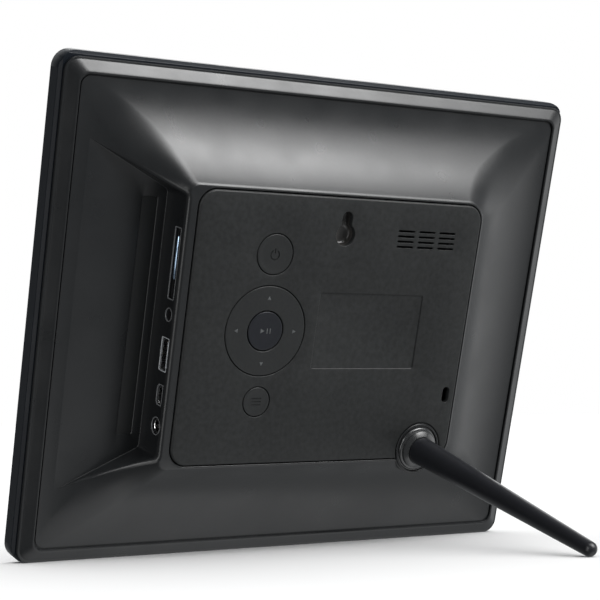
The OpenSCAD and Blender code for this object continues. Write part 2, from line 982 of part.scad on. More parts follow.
// A box that reaches into the frame from x0 to x1 behind the wall's outer face
module socket_box(x0, x1, h, z0, z1) {
    translate([x0, -h / 2, z0])
        cube([x1 - x0, h, z1 - z0]);
}

module card_socket() {
    foot = board_z1 - socket_z;
    body_x = cover_wall + gap;
    color([0.45, 0.5, 0.58])
        at_socket(card_y)
            difference() {
                union() {
                    socket_box(body_x, card_depth, card_w - gap, foot, card_h / 2);
                    socket_box(2 * socket_back, body_x + eps, card_w - gap,
                               gap - card_frame_h / 2, card_h / 2);
                }
                socket_box(0, card_depth - 1, card_slot_w, -card_slot_h / 2,
                           card_slot_h / 2);
            }
}

module audio_jack() {
    foot = board_z1 - socket_z;
    color([0.06, 0.06, 0.065])
        at_socket(audio_y)
            difference() {
                union() {
                    wall_rod(audio_nose_r, socket_back, cover_wall + nose_root);
                    socket_box(cover_wall + gap, cover_wall + gap + audio_body[0],
                               audio_body[1], foot, foot + audio_body[2]);
                }
                wall_rod(audio_bore_r, -1, cover_wall + audio_body[0] - audio_end);
            }
}

module usb_socket() {
    foot = board_z1 - socket_z;
    top = foot + usb_h;
    color([0.78, 0.79, 0.8])
        at_socket(usb_y)
            difference() {
                socket_box(socket_back, socket_back + usb_depth, usb_w, foot, top);
                socket_box(0, socket_back + usb_depth - usb_wall, usb_w - 2 * usb_wall,
                           foot + usb_wall, top - usb_wall);
            }
}

module usb_tongue() {
    low = board_z1 - socket_z + usb_wall;
    high = low + usb_h - 2 * usb_wall;
    back = socket_back + usb_depth - usb_wall;
    color([0.9, 0.9, 0.88])
        at_socket(usb_y) {
            socket_box(socket_back + usb_tongue_back, back, usb_tongue_w,
                       high - usb_tongue_gap - usb_tongue_t, high - usb_tongue_gap);
            socket_box(back - usb_base, back, usb_w - 2 * usb_wall, low, high);
        }
}

// The mini-USB outline, with its two lower corners cut off
module mini_outline(grow) {
    w = mini_w / 2 + grow;
    h = mini_h / 2 + grow;
    polygon([
        [-w, h], [w, h], [w, 0], [w - mini_taper, -h], [-w + mini_taper, -h], [-w, 0]
    ]);
}

module mini_prism(grow, x0, x1) {
    translate([x0, 0, 0])
        rotate([90, 0, 90])
            linear_extrude(x1 - x0)
                mini_outline(grow);
}

module mini_usb_socket() {
    foot = board_z1 - socket_z;
    color([0.78, 0.79, 0.8])
        at_socket(mini_y) {
            difference() {
                mini_prism(0, socket_back, socket_back + mini_depth);
                mini_prism(-mini_wall, 0, socket_back + mini_depth - mini_wall);
            }
            socket_box(board_x0 - wall_x, socket_back + mini_depth,
                       mini_w - 2 * mini_taper, foot, -mini_h / 2 + eps);
        }
}

module mini_usb_tongue() {
    color([0.1, 0.1, 0.11])
        at_socket(mini_y)
            socket_box(socket_back + mini_tongue_back, socket_back + mini_depth - mini_wall,
                       mini_tongue_w, 0, mini_tongue_t);
}

module dc_jack() {
    foot = board_z1 - socket_z;
    color([0.05, 0.05, 0.055])
        at_socket(dc_y)
            difference() {
                union() {
                    wall_rod(dc_nose_r, socket_back, cover_wall + nose_root);
                    socket_box(cover_wall + gap, cover_wall + gap + dc_body[0],
                               dc_body[1], foot, foot + dc_body[2]);
                }
                wall_rod(dc_bore_r, -1, cover_wall + dc_body[0] - dc_end);
            }
}

module dc_jack_pin() {
    color([0.82, 0.83, 0.84])
        at_socket(dc_y)
            wall_rod(dc_pin_r, socket_back + dc_pin_back, cover_wall + dc_body[0] - dc_end);
}

module lcd_connector() {
    color([0.88, 0.87, 0.82])
        translate([ribbon_x, ribbon_y, 0])
            block(connector_w, connector_l, board_z0 - connector_t, board_z0);
}

// Flat cable from the back of the tray to the connector, bent once through half a turn
module lcd_ribbon() {
    z0 = tray_z1;
    bend_r = (board_z0 - connector_t - z0) / 2;
    run = ribbon_reach + connector_l / 2;
    color([0.75, 0.5, 0.2])
        translate([ribbon_x, ribbon_y, 0])
            rotate([90, 0, 90])
                linear_extrude(ribbon_w, center = true)
                    difference() {
                        union() {
                            translate([-ribbon_reach, z0 + bend_r])
                                circle(bend_r);
                            translate([-ribbon_reach, z0])
                                square([run, 2 * bend_r]);
                        }
                        translate([-ribbon_reach, z0 + bend_r])
                            circle(bend_r - ribbon_t);
                        translate([-ribbon_reach, z0 + ribbon_t])
                            square([run + 1, 2 * (bend_r - ribbon_t)]);
                    }
}

// ---- keys ----

module key_switches() {
    color([0.2, 0.2, 0.21])
        for (spot = switch_spots)
            at_keys()
                at(spot)
                    difference() {
                        block(switch_body, switch_body, board_z1, switch_top);
                        rod(plunger_r + plunger_play, plunger_well_z, switch_top + 1);
                    }
}

module plunger() {
    color([0.85, 0.84, 0.8])
        rod(plunger_r, plunger_z0, plunger_z1);
}

module power_plunger() {
    at_keys(power_y)
        plunger();
}

module menu_plunger() {
    at_keys(menu_y)
        plunger();
}

module play_plunger() {
    at_keys()
        plunger();
}

module dpad_plungers() {
    at_keys()
        for (d = four_ways)
            at(ring_switch_r * d)
                plunger();
}

// A round push key: a dished cap, a flange that keeps it in, and a stem
module push_key(r) {
    color([0.13, 0.135, 0.14])
        difference() {
            union() {
                rod(r, key_flange_z1 - key_flange_t, key_top_z);
                rod(r + key_flange, key_flange_z1 - key_flange_t, key_flange_z1);
                rod(stem_r, plunger_z1, key_top_z - 1);
            }
            translate([0, 0, key_top_z - cap_dish])
                rotate_extrude()
                    polygon([
                        [0, 0], [r - dish_rim_in, 0],
                        [r - dish_rim_out, cap_dish + eps], [0, cap_dish + eps]
                    ]);
        }
}

module power_button() {
    at_keys(power_y)
        push_key(power_r);
}

module menu_button() {
    at_keys(menu_y)
        push_key(menu_r);
}

module play_button() {
    cap_z0 = key_top_z - key_cap_t;
    color([0.13, 0.135, 0.14])
        at_keys() {
            rod(play_r, cap_z0, key_top_z);
            tube(play_r - key_skirt, play_r, play_flange_z0, cap_z0 + eps);
            tube(play_r - play_flange_in, play_flange_r, play_flange_z0, play_flange_z1);
            rod(stem_r, plunger_z1, cap_z0 + eps);
        }
}

module dpad_ring() {
    cap_z0 = key_top_z - key_cap_t;
    tab = hinge_ring_r0 - ring_flange_r - hinge_tab_gap;
    color([0.13, 0.135, 0.14])
        at_keys() {
            tube(ring_inner_r, ring_r, cap_z0, key_top_z);
            tube(ring_inner_r, ring_inner_r + key_skirt, ring_z0, cap_z0 + eps);
            tube(ring_r - key_skirt, ring_r, ring_z0, cap_z0 + eps);
            tube(ring_r - key_skirt, ring_flange_r, ring_z0, ring_flange_z1);
            for (d = four_ways)
                at(ring_switch_r * d)
                    rod(stem_r, ring_stem_z0, cap_z0 + eps);
            for (side = [-1, 1])
                translate([0, side * (ring_flange_r - 1 + tab / 2), 0])
                    block(hinge_tab_w, 2 + tab, ring_z0, ring_flange_z1);
        }
}

module dpad_hinge_ring() {
    color([0.13, 0.135, 0.14])
        at_keys()
            tube(hinge_ring_r0, hinge_ring_r1, ring_z0, hinge_ring_z1);
}

// ---- speaker ----

module at_speaker() {
    translate([grille_x, grille_y, 0])
        children();
}

module speaker_gasket() {
    color([0.12, 0.12, 0.12])
        at_speaker()
            difference() {
                oval_slab(speaker_w, speaker_h, speaker_z1, plate_z0);
                oval_slab(speaker_w - 2 * gasket_w, speaker_h - 2 * gasket_w,
                          speaker_z1 - 1, plate_z0 + 1);
            }
}

module speaker_frame() {
    rim_z0 = speaker_z1 - speaker_frame_t;
    low_z0 = rim_z0 - speaker_basket_h;
    low_w = speaker_w - 2 * speaker_basket_in;
    low_h = speaker_h - 2 * speaker_basket_in;
    color([0.35, 0.36, 0.37])
        at_speaker()
            difference() {
                union() {
                    oval_slab(speaker_w, speaker_h, rim_z0, speaker_z1);
                    oval_slab(low_w, low_h, low_z0, rim_z0 + eps);
                }
                oval_slab(speaker_w - 2 * speaker_rim, speaker_h - 2 * speaker_rim,
                          rim_z0 + speaker_rim_floor, speaker_z1 + 1);
                oval_slab(low_w - 2 * speaker_rim, low_h - 2 * speaker_rim,
                          low_z0 + speaker_floor, speaker_z1);
            }
}

module speaker_cone() {
    z = speaker_z1 - speaker_frame_t + speaker_rim_floor;
    edge = speaker_rim + cone_play;
    color([0.1, 0.1, 0.1])
        at_speaker() {
            oval_slab(speaker_w - 2 * edge, speaker_h - 2 * edge, z, z + cone_t);
            rod(coil_r, z - speaker_rim_floor - coil_l, z + eps);
        }
}

module speaker_magnet() {
    top = speaker_z1 - speaker_frame_t - speaker_basket_h;
    color([0.5, 0.5, 0.52])
        at_speaker()
            block(speaker_magnet_size[0], speaker_magnet_size[1],
                  top - speaker_magnet_size[2], top);
}

// Two leads from the speaker's edge across to the main board
module speaker_wires() {
    z = board_z0 - wire_bead_r;
    start_x = grille_x - speaker_magnet_size[0] / 2 - wire_bead_r;
    start_z = speaker_z1 - speaker_frame_t - speaker_basket_h - wire_bead_r;
    end_x = board_x1 - wire_end;
    level_x = start_x - wire_slope;
    color([0.7, 0.08, 0.06])
        for (y = [-wire_gap / 2, wire_gap / 2])
            translate([0, grille_y - wire_drop + y, 0]) {
                rod_between([start_x, 0, start_z], [level_x, 0, z]);
                rod_between([level_x, 0, z], [end_x, 0, z]);
            }
}

// A round lead between two points in the plane of x and z, with a bead at its start
module rod_between(a, b) {
    run = norm(b - a);
    angle = atan2(b[0] - a[0], b[2] - a[2]);
    translate(a) {
        sphere(wire_bead_r, $fn = 24);
        rotate([0, angle, 0])
            cylinder(r = wire_r, h = run, $fn = 24);
    }
}

// ---- stand ----

module stand_turret() {
    color([0.12, 0.125, 0.13])
        difference() {
            union() {
                at_stand() {
                    rod(turret_r, turret_z0, turret_z1);
                    rod(spigot_r, spigot_z0, turret_z0 + eps);
                }
                leg_axis()
                    intersection() {
                        rod(dome_r, 0, dome_h);
                        translate([0, 0, dome_h + dome_crown - dome_sphere_r])
                            sphere(dome_sphere_r);
                    }
            }
            leg_axis()
                rod(insert_r, dome_h - insert_l, dome_h + 5);
            at_stand()
                rod(stand_screw_r + screw_play, spigot_z0 - 1,
                    spigot_z0 + stand_screw_bite + screw_end_room);
        }
}

module stand_insert() {
    color([0.72, 0.58, 0.3])
        leg_axis()
            tube(stud_r + stud_play, insert_r, dome_h - insert_l, dome_h);
}

module stand_spring_washer() {
    color([0.7, 0.71, 0.72])
        at_stand()
            tube(spigot_r + spring_in, washer_r - spring_out, spigot_z0,
                 spigot_z0 + spring_t);
}

module stand_washer() {
    color([0.6, 0.61, 0.62])
        at_stand()
            tube(stand_screw_r + hole_play, washer_r, spigot_z0 - washer_t, spigot_z0);
}

module stand_screw() {
    color([0.55, 0.56, 0.58])
        at_stand()
            screw(stand_screw_r, stand_screw_head_r, stand_screw_head_h,
                  spigot_z0 - washer_t, washer_t + stand_screw_bite);
}

module stand_leg() {
    color([0.09, 0.09, 0.1])
        leg_axis()
            difference() {
                union() {
                    translate([0, 0, dome_h])
                        cylinder(r1 = leg_base_r, r2 = leg_tip_r, h = leg_l);
                    translate([0, 0, dome_h + leg_l])
                        sphere(leg_tip_r);
                }
                rod(stud_r + stud_seat_play, dome_h - 1, dome_h + stud_in_leg);
            }
}

module leg_stud() {
    color([0.7, 0.71, 0.72])
        leg_axis()
            rod(stud_r, dome_h - stud_l, dome_h + stud_in_leg);
}

place() front_bezel();
place() front_window();
place() lcd_glass();
place() lcd_backlight();
place() lcd_brackets();
place() bracket_screws();
place() lcd_ribbon();
place() lcd_connector();
place() rear_cover();
place() back_plate();
place() plate_screws();
place() main_board();
place() board_chips();
place() board_screws();
place() card_socket();
place() audio_jack();
place() usb_socket();
place() usb_tongue();
place() mini_usb_socket();
place() mini_usb_tongue();
place() dc_jack();
place() dc_jack_pin();
place() key_switches();
place() power_plunger();
place() menu_plunger();
place() play_plunger();
place() dpad_plungers();
place() power_button();
place() menu_button();
place() play_button();
place() dpad_ring();
place() dpad_hinge_ring();
place() speaker_frame();
place() speaker_cone();
place() speaker_magnet();
place() speaker_gasket();
place() speaker_wires();
place() stand_turret();
place() stand_insert();
place() stand_spring_washer();
place() stand_washer();
place() stand_screw();
place() stand_leg();
place() leg_stud();
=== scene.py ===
import bpy, bmesh
from math import acos, atan, atan2, cos, degrees, pi, radians, sin, tan
import numpy as np
from mathutils.bvhtree import BVHTree
from mathutils import Matrix, Vector
from mathutils.geometry import delaunay_2d_cdt
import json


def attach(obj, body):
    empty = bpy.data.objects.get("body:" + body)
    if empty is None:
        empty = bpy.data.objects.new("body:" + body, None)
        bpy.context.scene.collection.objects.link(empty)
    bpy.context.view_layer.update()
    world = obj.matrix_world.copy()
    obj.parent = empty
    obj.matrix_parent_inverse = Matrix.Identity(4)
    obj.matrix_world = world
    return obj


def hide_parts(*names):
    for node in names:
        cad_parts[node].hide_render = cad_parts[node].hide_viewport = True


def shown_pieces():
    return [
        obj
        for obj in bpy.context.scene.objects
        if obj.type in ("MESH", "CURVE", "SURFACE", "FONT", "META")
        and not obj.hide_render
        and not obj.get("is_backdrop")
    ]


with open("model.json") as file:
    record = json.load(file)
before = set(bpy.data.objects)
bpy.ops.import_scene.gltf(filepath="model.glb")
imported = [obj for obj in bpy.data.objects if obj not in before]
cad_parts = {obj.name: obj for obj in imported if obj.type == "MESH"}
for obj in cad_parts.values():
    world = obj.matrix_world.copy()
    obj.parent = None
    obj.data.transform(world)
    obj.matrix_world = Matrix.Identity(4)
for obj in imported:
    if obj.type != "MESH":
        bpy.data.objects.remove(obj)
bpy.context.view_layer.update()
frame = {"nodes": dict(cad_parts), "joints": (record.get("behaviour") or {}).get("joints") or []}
joints = {j["name"]: j for j in frame["joints"]}

# ---- the object's own frame, in millimetres: x right and y up seen from behind, z out of the back

MM = 0.001
BACK = Vector(joints["stand_swivel"]["axis"]).normalized()
RIGHT = Vector((-1, 0, 0))
UP = BACK.cross(RIGHT)
KEYS_X = -32.3
PIVOT = Vector((KEYS_X, 0, 17.7))  # the four-way ring's pivot in that frame
TURN = Matrix((RIGHT, UP, BACK)).transposed()
ORIGIN = Vector(joints["dpad_rock_updown"]["pos_m"]) - TURN @ (PIVOT * MM)
PLACE = Matrix.LocRotScale(ORIGIN, TURN.to_quaternion(), Vector((MM,) * 3))
UNPLACE = PLACE.inverted()

STAND = (53.3, -51.6)  # the turret's centre
HOUSING_R = 10.74  # the cover's hole for the turret's housing
LEG_FOOT = UNPLACE @ Vector(joints["leg_screw_turn"]["pos_m"])
LEG_AXIS = (TURN.transposed() @ Vector(joints["leg_screw_turn"]["axis"])).normalized()

COVER = (121.5, 100.0)  # half width and height of the rear cover
COVER_WALL = 2.0
RIM = (6.5, 3.6)  # inset and height where the flares start
RIM_LEAN = radians(4)
FLARES = (67.4, 79.9, 53.4)  # radii: socket side, far side, top and bottom
PLATEAU = 21.42
PLATE = (69.0, 55.8, 7.5)  # half width, half height and corner radius
PLATE_TOP, PLATE_LOW = 22.0, 19.8
PLATE_GAP = 0.42  # between the plate and the cover's opening
NOTCH_R = 11.5  # the plate's notch round the housing

WALL_X = -74.1  # the socket wall, and the pocket's floor
FLOOR = 4.2
STRIP = (-81.4, 1)  # centre of the bare strip on that floor
SOCKET_Z, BOARD_Z = 16.3, 13.4
CARD_Y, AUDIO_Y, USB_Y, MINI_Y, DC_Y = 25.2, 4.8, -11.2, -27.6, -40.4


# ---- mesh building

class Shell:
    """Vertices and faces in millimetres, and the numbers of faces whose normals are computed."""

    def __init__(self):
        self.v, self.f, self.smooth = [], [], set()

    def loop(self, points):
        start = len(self.v)
        self.v.extend(Vector(p) for p in points)
        return list(range(start, len(self.v)))

    def strip(self, a, b, closed=True):
        n = len(a)
        for i in range(n if closed else n - 1):
            j = (i + 1) % n
            self.f.append((a[i], a[j], b[j], b[i]))

    def loft(self, rows, closed=True):
        loops = [r if isinstance(r[0], int) else self.loop(r) for r in rows]
        for a, b in zip(loops, loops[1:]):
            self.strip(a, b, closed)
        return loops

    def fill(self, outer, holes=(), flat=(0, 1), extra=(), rows=(), lift=None, exact=False):
        """Triangles over the region inside outer and outside holes; extra points are in the flat
        plane, and rows are edges between them. Faces that follow lift exactly are flagged."""
        ids = list(outer) + [i for h in holes for i in h]
        pts = [Vector((self.v[i][flat[0]], self.v[i][flat[1]])) for i in ids]
        edges, at = [], 0
        for ring in [outer, *holes]:
            n = len(ring)
            edges += [(at + i, at + (i + 1) % n) for i in range(n)]
            at += n
        edges += [(at + a, at + b) for a, b in rows]
        extra = [Vector(p) for p in extra]
        made = delaunay_2d_cdt(pts + extra, edges, [], 0, 1e-5)
        xy = np.array([tuple(p) for p in made[0]])
        ring_xy = [self.plan(r, flat) for r in [outer, *holes]]
        tri = np.array([t for t in made[2] if len(t) == 3])
        mid = xy[tri].mean(1)
        keep = inside(mid, ring_xy[0])
        for r in ring_xy[1:]:
            keep &= ~inside(mid, r)
        where = {}
        for k, orig in enumerate(made[3]):
            old = [o for o in orig if o < len(ids)]
            if old:
                where[k] = ids[old[0]]
        new = sorted(set(tri[keep].ravel()) - set(where))
        if new:
            p = xy[new]
            z = lift(p[:, 0], p[:, 1]) if lift else None
            for row, k in enumerate(new):
                q = [0.0, 0.0, 0.0]
                q[flat[0]], q[flat[1]] = p[row]
                third = 3 - flat[0] - flat[1]
                q[third] = z[row] if lift else self.v[outer[0]][third]
                where[k] = len(self.v)
                self.v.append(Vector(q))
        for t in tri[keep]:
            if exact:
                self.smooth.add(len(self.f))
            self.f.append(tuple(where[int(k)] for k in t))

    def cap(self, ring):
        self.f.append(tuple(ring))

    def plan(self, ids, flat=(0, 1)):
        """The places of vertices in a plane."""
        return np.array([[self.v[i][k] for k in flat] for i in ids])


def inside(p, ring):
    """Which of the points p lie inside a ring, by crossing count."""
    x, y = p[:, 0:1], p[:, 1:2]
    x0, y0 = ring[:, 0], ring[:, 1]
    x1, y1 = np.roll(x0, -1), np.roll(y0, -1)
    over = (y0 > y) != (y1 > y)
    with np.errstate(divide="ignore", invalid="ignore"):
        cross = x < (x1 - x0) * (y - y0) / (y1 - y0) + x0
    return (over & cross).sum(1) % 2 == 1


WELD = 1e-4  # vertices closer than this are one


def put(name, data):
    """A new object in the scene."""
    obj = bpy.data.objects.new(name, data)
    bpy.context.scene.collection.objects.link(obj)
    return obj


def read(items, key, width=1, kind=np.float32):
    """One value, or width values, of every item as an array."""
    out = np.empty(len(items) * width, kind)
    items.foreach_get(key, out)
    return out


def make(name, shell, body, finish, angle=30, normals=None, node=None):
    """A piece from a shell, turned to the shared frame, riding on its body."""
    me = bpy.data.meshes.new(name)
    me.from_pydata([tuple(PLACE @ v) for v in shell.v], [], shell.f)
    layer = me.attributes.new("exact", "BOOLEAN", "FACE")
    layer.data.foreach_set("value", [i in shell.smooth for i in range(len(me.polygons))])
    bm = bmesh.new()
    bm.from_mesh(me)
    bmesh.ops.remove_doubles(bm, verts=bm.verts, dist=WELD * MM)
    bmesh.ops.dissolve_degenerate(bm, edges=bm.edges, dist=WELD * MM)
    bmesh.ops.recalc_face_normals(bm, faces=bm.faces)
    bm.to_mesh(me)
    bm.free()
    me.polygons.foreach_set("use_smooth", [True] * len(me.polygons))
    me.set_sharp_from_angle(angle=radians(angle))
    if normals:
        corner = read(me.corner_normals, "vector", 3).reshape(-1, 3)
        at = read(me.loops, "vertex_index", 1, np.int32)
        turn = np.array(TURN)
        co = (read(me.vertices, "co", 3).reshape(-1, 3) - np.array(ORIGIN)) @ turn * 1000
        on = np.repeat(read(me.attributes["exact"].data, "value", 1, bool),
                       read(me.polygons, "loop_total", 1, np.int32))
        corner[on] = normals(co[at[on], 0], co[at[on], 1]) @ turn.T
        me.normals_split_custom_set([tuple(c) for c in corner])
    me.attributes.remove(me.attributes["exact"])
    obj = put(name, me)
    obj.data.materials.append(M[finish])
    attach(obj, body)
    if node:
        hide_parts(node)
    return obj


# ---- outlines; grow moves one outwards

def polar(r, a, cx=0, cy=0):
    """The point at radius r and a degrees round a centre."""
    return cx + r * cos(radians(a)), cy + r * sin(radians(a))


def arc(cx, cy, r, a0, a1, n):
    """n points from angle a0 up to, and not including, a1."""
    return [polar(r, a0 + (a1 - a0) * i / n, cx, cy) for i in range(n)]


def line(a, b, n):
    return [(a[0] + (b[0] - a[0]) * i / n, a[1] + (b[1] - a[1]) * i / n) for i in range(n)]


def rounded_box(x0, x1, y0, y1, left, right, side, seg):
    """A rectangle's outline with one corner radius on its left and one on its right."""
    return (line((x0 + left, y0), (x1 - right, y0), side[0])
            + arc(x1 - right, y0 + right, right, -90, 0, seg)
            + line((x1, y0 + right), (x1, y1 - right), side[1])
            + arc(x1 - right, y1 - right, right, 0, 90, seg)
            + line((x1 - right, y1), (x0 + left, y1), side[0])
            + arc(x0 + left, y1 - left, left, 90, 180, seg)
            + line((x0, y1 - left), (x0, y0 + left), side[1])
            + arc(x0 + left, y0 + left, left, 180, 270, seg))


def rect(w, h, r, cx, cy, seg, side):
    """An outline function of a rounded rectangle given by half sizes."""
    def outline(grow=0):
        k = max(r + grow, 1e-3)
        return rounded_box(cx - w - grow, cx + w + grow, cy - h - grow, cy + h + grow, k, k, side, seg)
    return outline


def circle(cx, cy, r, n):
    return lambda grow=0: arc(cx, cy, r + grow, 0, 360, n)


def at_z(points, z):
    return [(p[0], p[1], z) for p in points]


def round_in(r):
    """Stations (outward step, drop) of a rounded convex lip of a hole, from the face into the hole."""
    angles = [pi / 2 * i / 4 for i in range(5)]
    return [(r * (1 - sin(a)), r * (1 - cos(a))) for a in angles]


def lathe(profile, n):
    """A shell turned round z from a closed profile of (radius, height) points."""
    s = Shell()
    rows = []
    for r, z in profile:
        if r < 1e-6:
            rows.append([s.loop([(0, 0, z)])[0]] * n)
        else:
            rows.append(s.loop(at_z(arc(0, 0, r, 0, 360, n), z)))
    for a, b in zip(rows, rows[1:] + rows[:1]):
        for i in range(n):
            j = (i + 1) % n
            f = tuple(dict.fromkeys((a[i], a[j], b[j], b[i])))
            if len(f) > 2:
                s.f.append(f)
    return s


def corner(profile, at, r):
    """Replaces point at of a profile by an arc of radius r."""
    p, a, b = (Vector(profile[i % len(profile)]) for i in (at, at - 1, at + 1))
    u, v = (a - p).normalized(), (b - p).normalized()
    half = u.angle(v) / 2
    step = min(r / tan(half), (a - p).length * 0.49, (b - p).length * 0.49)
    rr = step * tan(half)
    c = p + (u + v).normalized() * (rr / sin(half))
    s, e = p + u * step - c, p + v * step - c
    turn = atan2(s.x * e.y - s.y * e.x, s.dot(e))
    out = []
    for i in range(5):
        t = turn * i / 4
        out.append((c.x + s.x * cos(t) - s.y * sin(t),
                    c.y + s.x * sin(t) + s.y * cos(t)))
    return profile[:at] + out + profile[at + 1:]


def rounded(profile, **radii):
    """Rounds points of a profile: p3=0.4 rounds point 3."""
    for key in sorted(radii, key=lambda k: -int(k[1:])):
        profile = corner(profile, int(key[1:]), radii[key])
    return profile


def moved(shell, matrix):
    """A shell turned and shifted by a matrix."""
    shell.v = [matrix @ v for v in shell.v]
    return shell


def at_stand(shell):
    """A shell made round z, shifted to the turret's centre."""
    return moved(shell, Matrix.Translation((*STAND, 0)))


def joined(*shells):
    out = Shell()
    for s in shells:
        n, m = len(out.v), len(out.f)
        out.v += s.v
        out.f += [tuple(i + n for i in f) for f in s.f]
        out.smooth |= {i + m for i in s.smooth}
    return out


def cad_mesh(node):
    """A CAD node's mesh as a bmesh in millimetres, its doubled vertices welded."""
    bm = bmesh.new()
    bm.from_mesh(frame["nodes"][node].data)
    bmesh.ops.transform(bm, matrix=UNPLACE, verts=bm.verts)
    bmesh.ops.remove_doubles(bm, verts=bm.verts, dist=WELD)
    return bm


def cad_below(node, z):
    """The part of a CAD node that lies deeper than height z, closed there."""
    bm = cad_mesh(node)
    cut = bmesh.ops.bisect_plane(bm, geom=bm.verts[:] + bm.edges[:] + bm.faces[:],
                                 plane_co=(0, 0, z), plane_no=(0, 0, 1), clear_outer=True)
    edges = [g for g in cut["geom_cut"] if isinstance(g, bmesh.types.BMEdge)]
    bmesh.ops.triangle_fill(bm, edges=edges, use_beauty=True)
    s = Shell()
    bm.verts.index_update()
    s.v = [v.co.copy() for v in bm.verts]
    s.f = [tuple(v.index for v in f.verts) for f in bm.faces]
    bm.free()
    return s


def cad_apart(node, piece, gap, top):
    """The faces of a CAD node below height top(x, y) that are farther than gap from a piece."""
    data = piece.data
    tree = BVHTree.FromPolygons([UNPLACE @ v.co for v in data.vertices],
                                [tuple(p.vertices) for p in data.polygons])
    bm = cad_mesh(node)
    mids = [face.calc_center_median() for face in bm.faces]
    tops = top(np.array([m.x for m in mids]), np.array([m.y for m in mids]))
    s, at = Shell(), {}
    for face, mid, high in zip(bm.faces, mids, tops):
        if mid.z < high and (tree.find_nearest(mid)[0] - mid).length > gap:
            for v in face.verts:
                if v not in at:
                    at[v] = len(s.v)
                    s.v.append(v.co.copy())
            s.f.append(tuple(at[v] for v in face.verts))
    bm.free()
    return s


# ---- materials

def preset(node, values):
    """Sets inputs of a shader node by their names."""
    for key, value in values.items():
        node.inputs[key].default_value = value
    return node


def shader(name, color, rough, metallic=0.0, specular=0.5, coat=0.0, coat_rough=0.2):
    """A material with its nodes, links and surface shader."""
    mat = bpy.data.materials.new(name)
    mat.use_nodes = True
    p = preset(mat.node_tree.nodes["Principled BSDF"], {
        "Base Color": (*color, 1), "Roughness": rough, "Metallic": metallic, "IOR": 1.5,
        "Specular IOR Level": specular, "Coat Weight": coat, "Coat Roughness": coat_rough})
    return mat, mat.node_tree.nodes, mat.node_tree.links, p


def noise(n, l, scale, detail=2.0, rough=0.5, stretch=None):
    """Noise that stays with the piece."""
    tex = preset(n.new("ShaderNodeTexNoise"), {"Scale": scale, "Detail": detail, "Roughness": rough})
    place = n.new("ShaderNodeTexCoord").outputs["Object"]
    if stretch:
        m = preset(n.new("ShaderNodeMapping"), {"Scale": stretch})
        l.new(place, m.inputs["Vector"])
        place = m.outputs["Vector"]
    l.new(place, tex.inputs["Vector"])
    return tex.outputs["Fac"]


def spread(n, l, source, low, high, a=0.3, b=0.7):
    m = preset(n.new("ShaderNodeMapRange"),
               {"From Min": a, "From Max": b, "To Min": low, "To Max": high})
    l.new(source, m.inputs["Value"])
    return m.outputs["Result"]


def tint(n, l, source, dark, light, a=0.3, b=0.7):
    ramp = n.new("ShaderNodeValToRGB")
    for stop, at, color in zip(ramp.color_ramp.elements, (a, b), (dark, light)):
        stop.position, stop.color = at, (*color, 1)
    l.new(source, ramp.inputs["Fac"])
    return ramp.outputs["Color"]


def bump(n, l, source, distance, strength=1.0):
    b = preset(n.new("ShaderNodeBump"), {"Distance": distance, "Strength": strength})
    l.new(source, b.inputs["Height"])
    return b.outputs["Normal"]


def plastic(name, color, rough=0.42, grain=0.6, depth=0.012, vary=0.1, specular=0.3):
    """Moulded plastic: fine spark-eroded grain (size and depth in mm), soft cloudy gloss, faint wear."""
    mat, n, l, p = shader(name, color, rough, specular=specular)
    fine = noise(n, l, 1000 / grain, 3.0, 0.6)
    cloud = noise(n, l, 60, 2.0)
    speck = noise(n, l, 420 / grain, 2.0)
    lo, hi = [tuple(c * k for c in color) for k in (1 - vary, 1 + vary)]
    l.new(tint(n, l, speck, lo, hi), p.inputs["Base Color"])
    l.new(spread(n, l, cloud, rough - 0.04, rough + 0.04), p.inputs["Roughness"])
    l.new(bump(n, l, fine, depth * MM, 0.9), p.inputs["Normal"])
    return mat


def metal(name, color, rough=0.25, stretch=(1, 1, 1)):
    """Plated or drawn sheet metal with a fine directional grain and stains."""
    mat, n, l, p = shader(name, color, rough, metallic=1.0)
    grain = noise(n, l, 900, 3.0, 0.6, stretch)
    stain = noise(n, l, 140, 3.0)
    lo, hi = [tuple(c * k for c in color) for k in (0.82, 1.08)]
    l.new(tint(n, l, stain, lo, hi), p.inputs["Base Color"])
    l.new(spread(n, l, grain, rough - 0.06, rough + 0.1), p.inputs["Roughness"])
    l.new(bump(n, l, grain, 0.003 * MM), p.inputs["Normal"])
    return mat


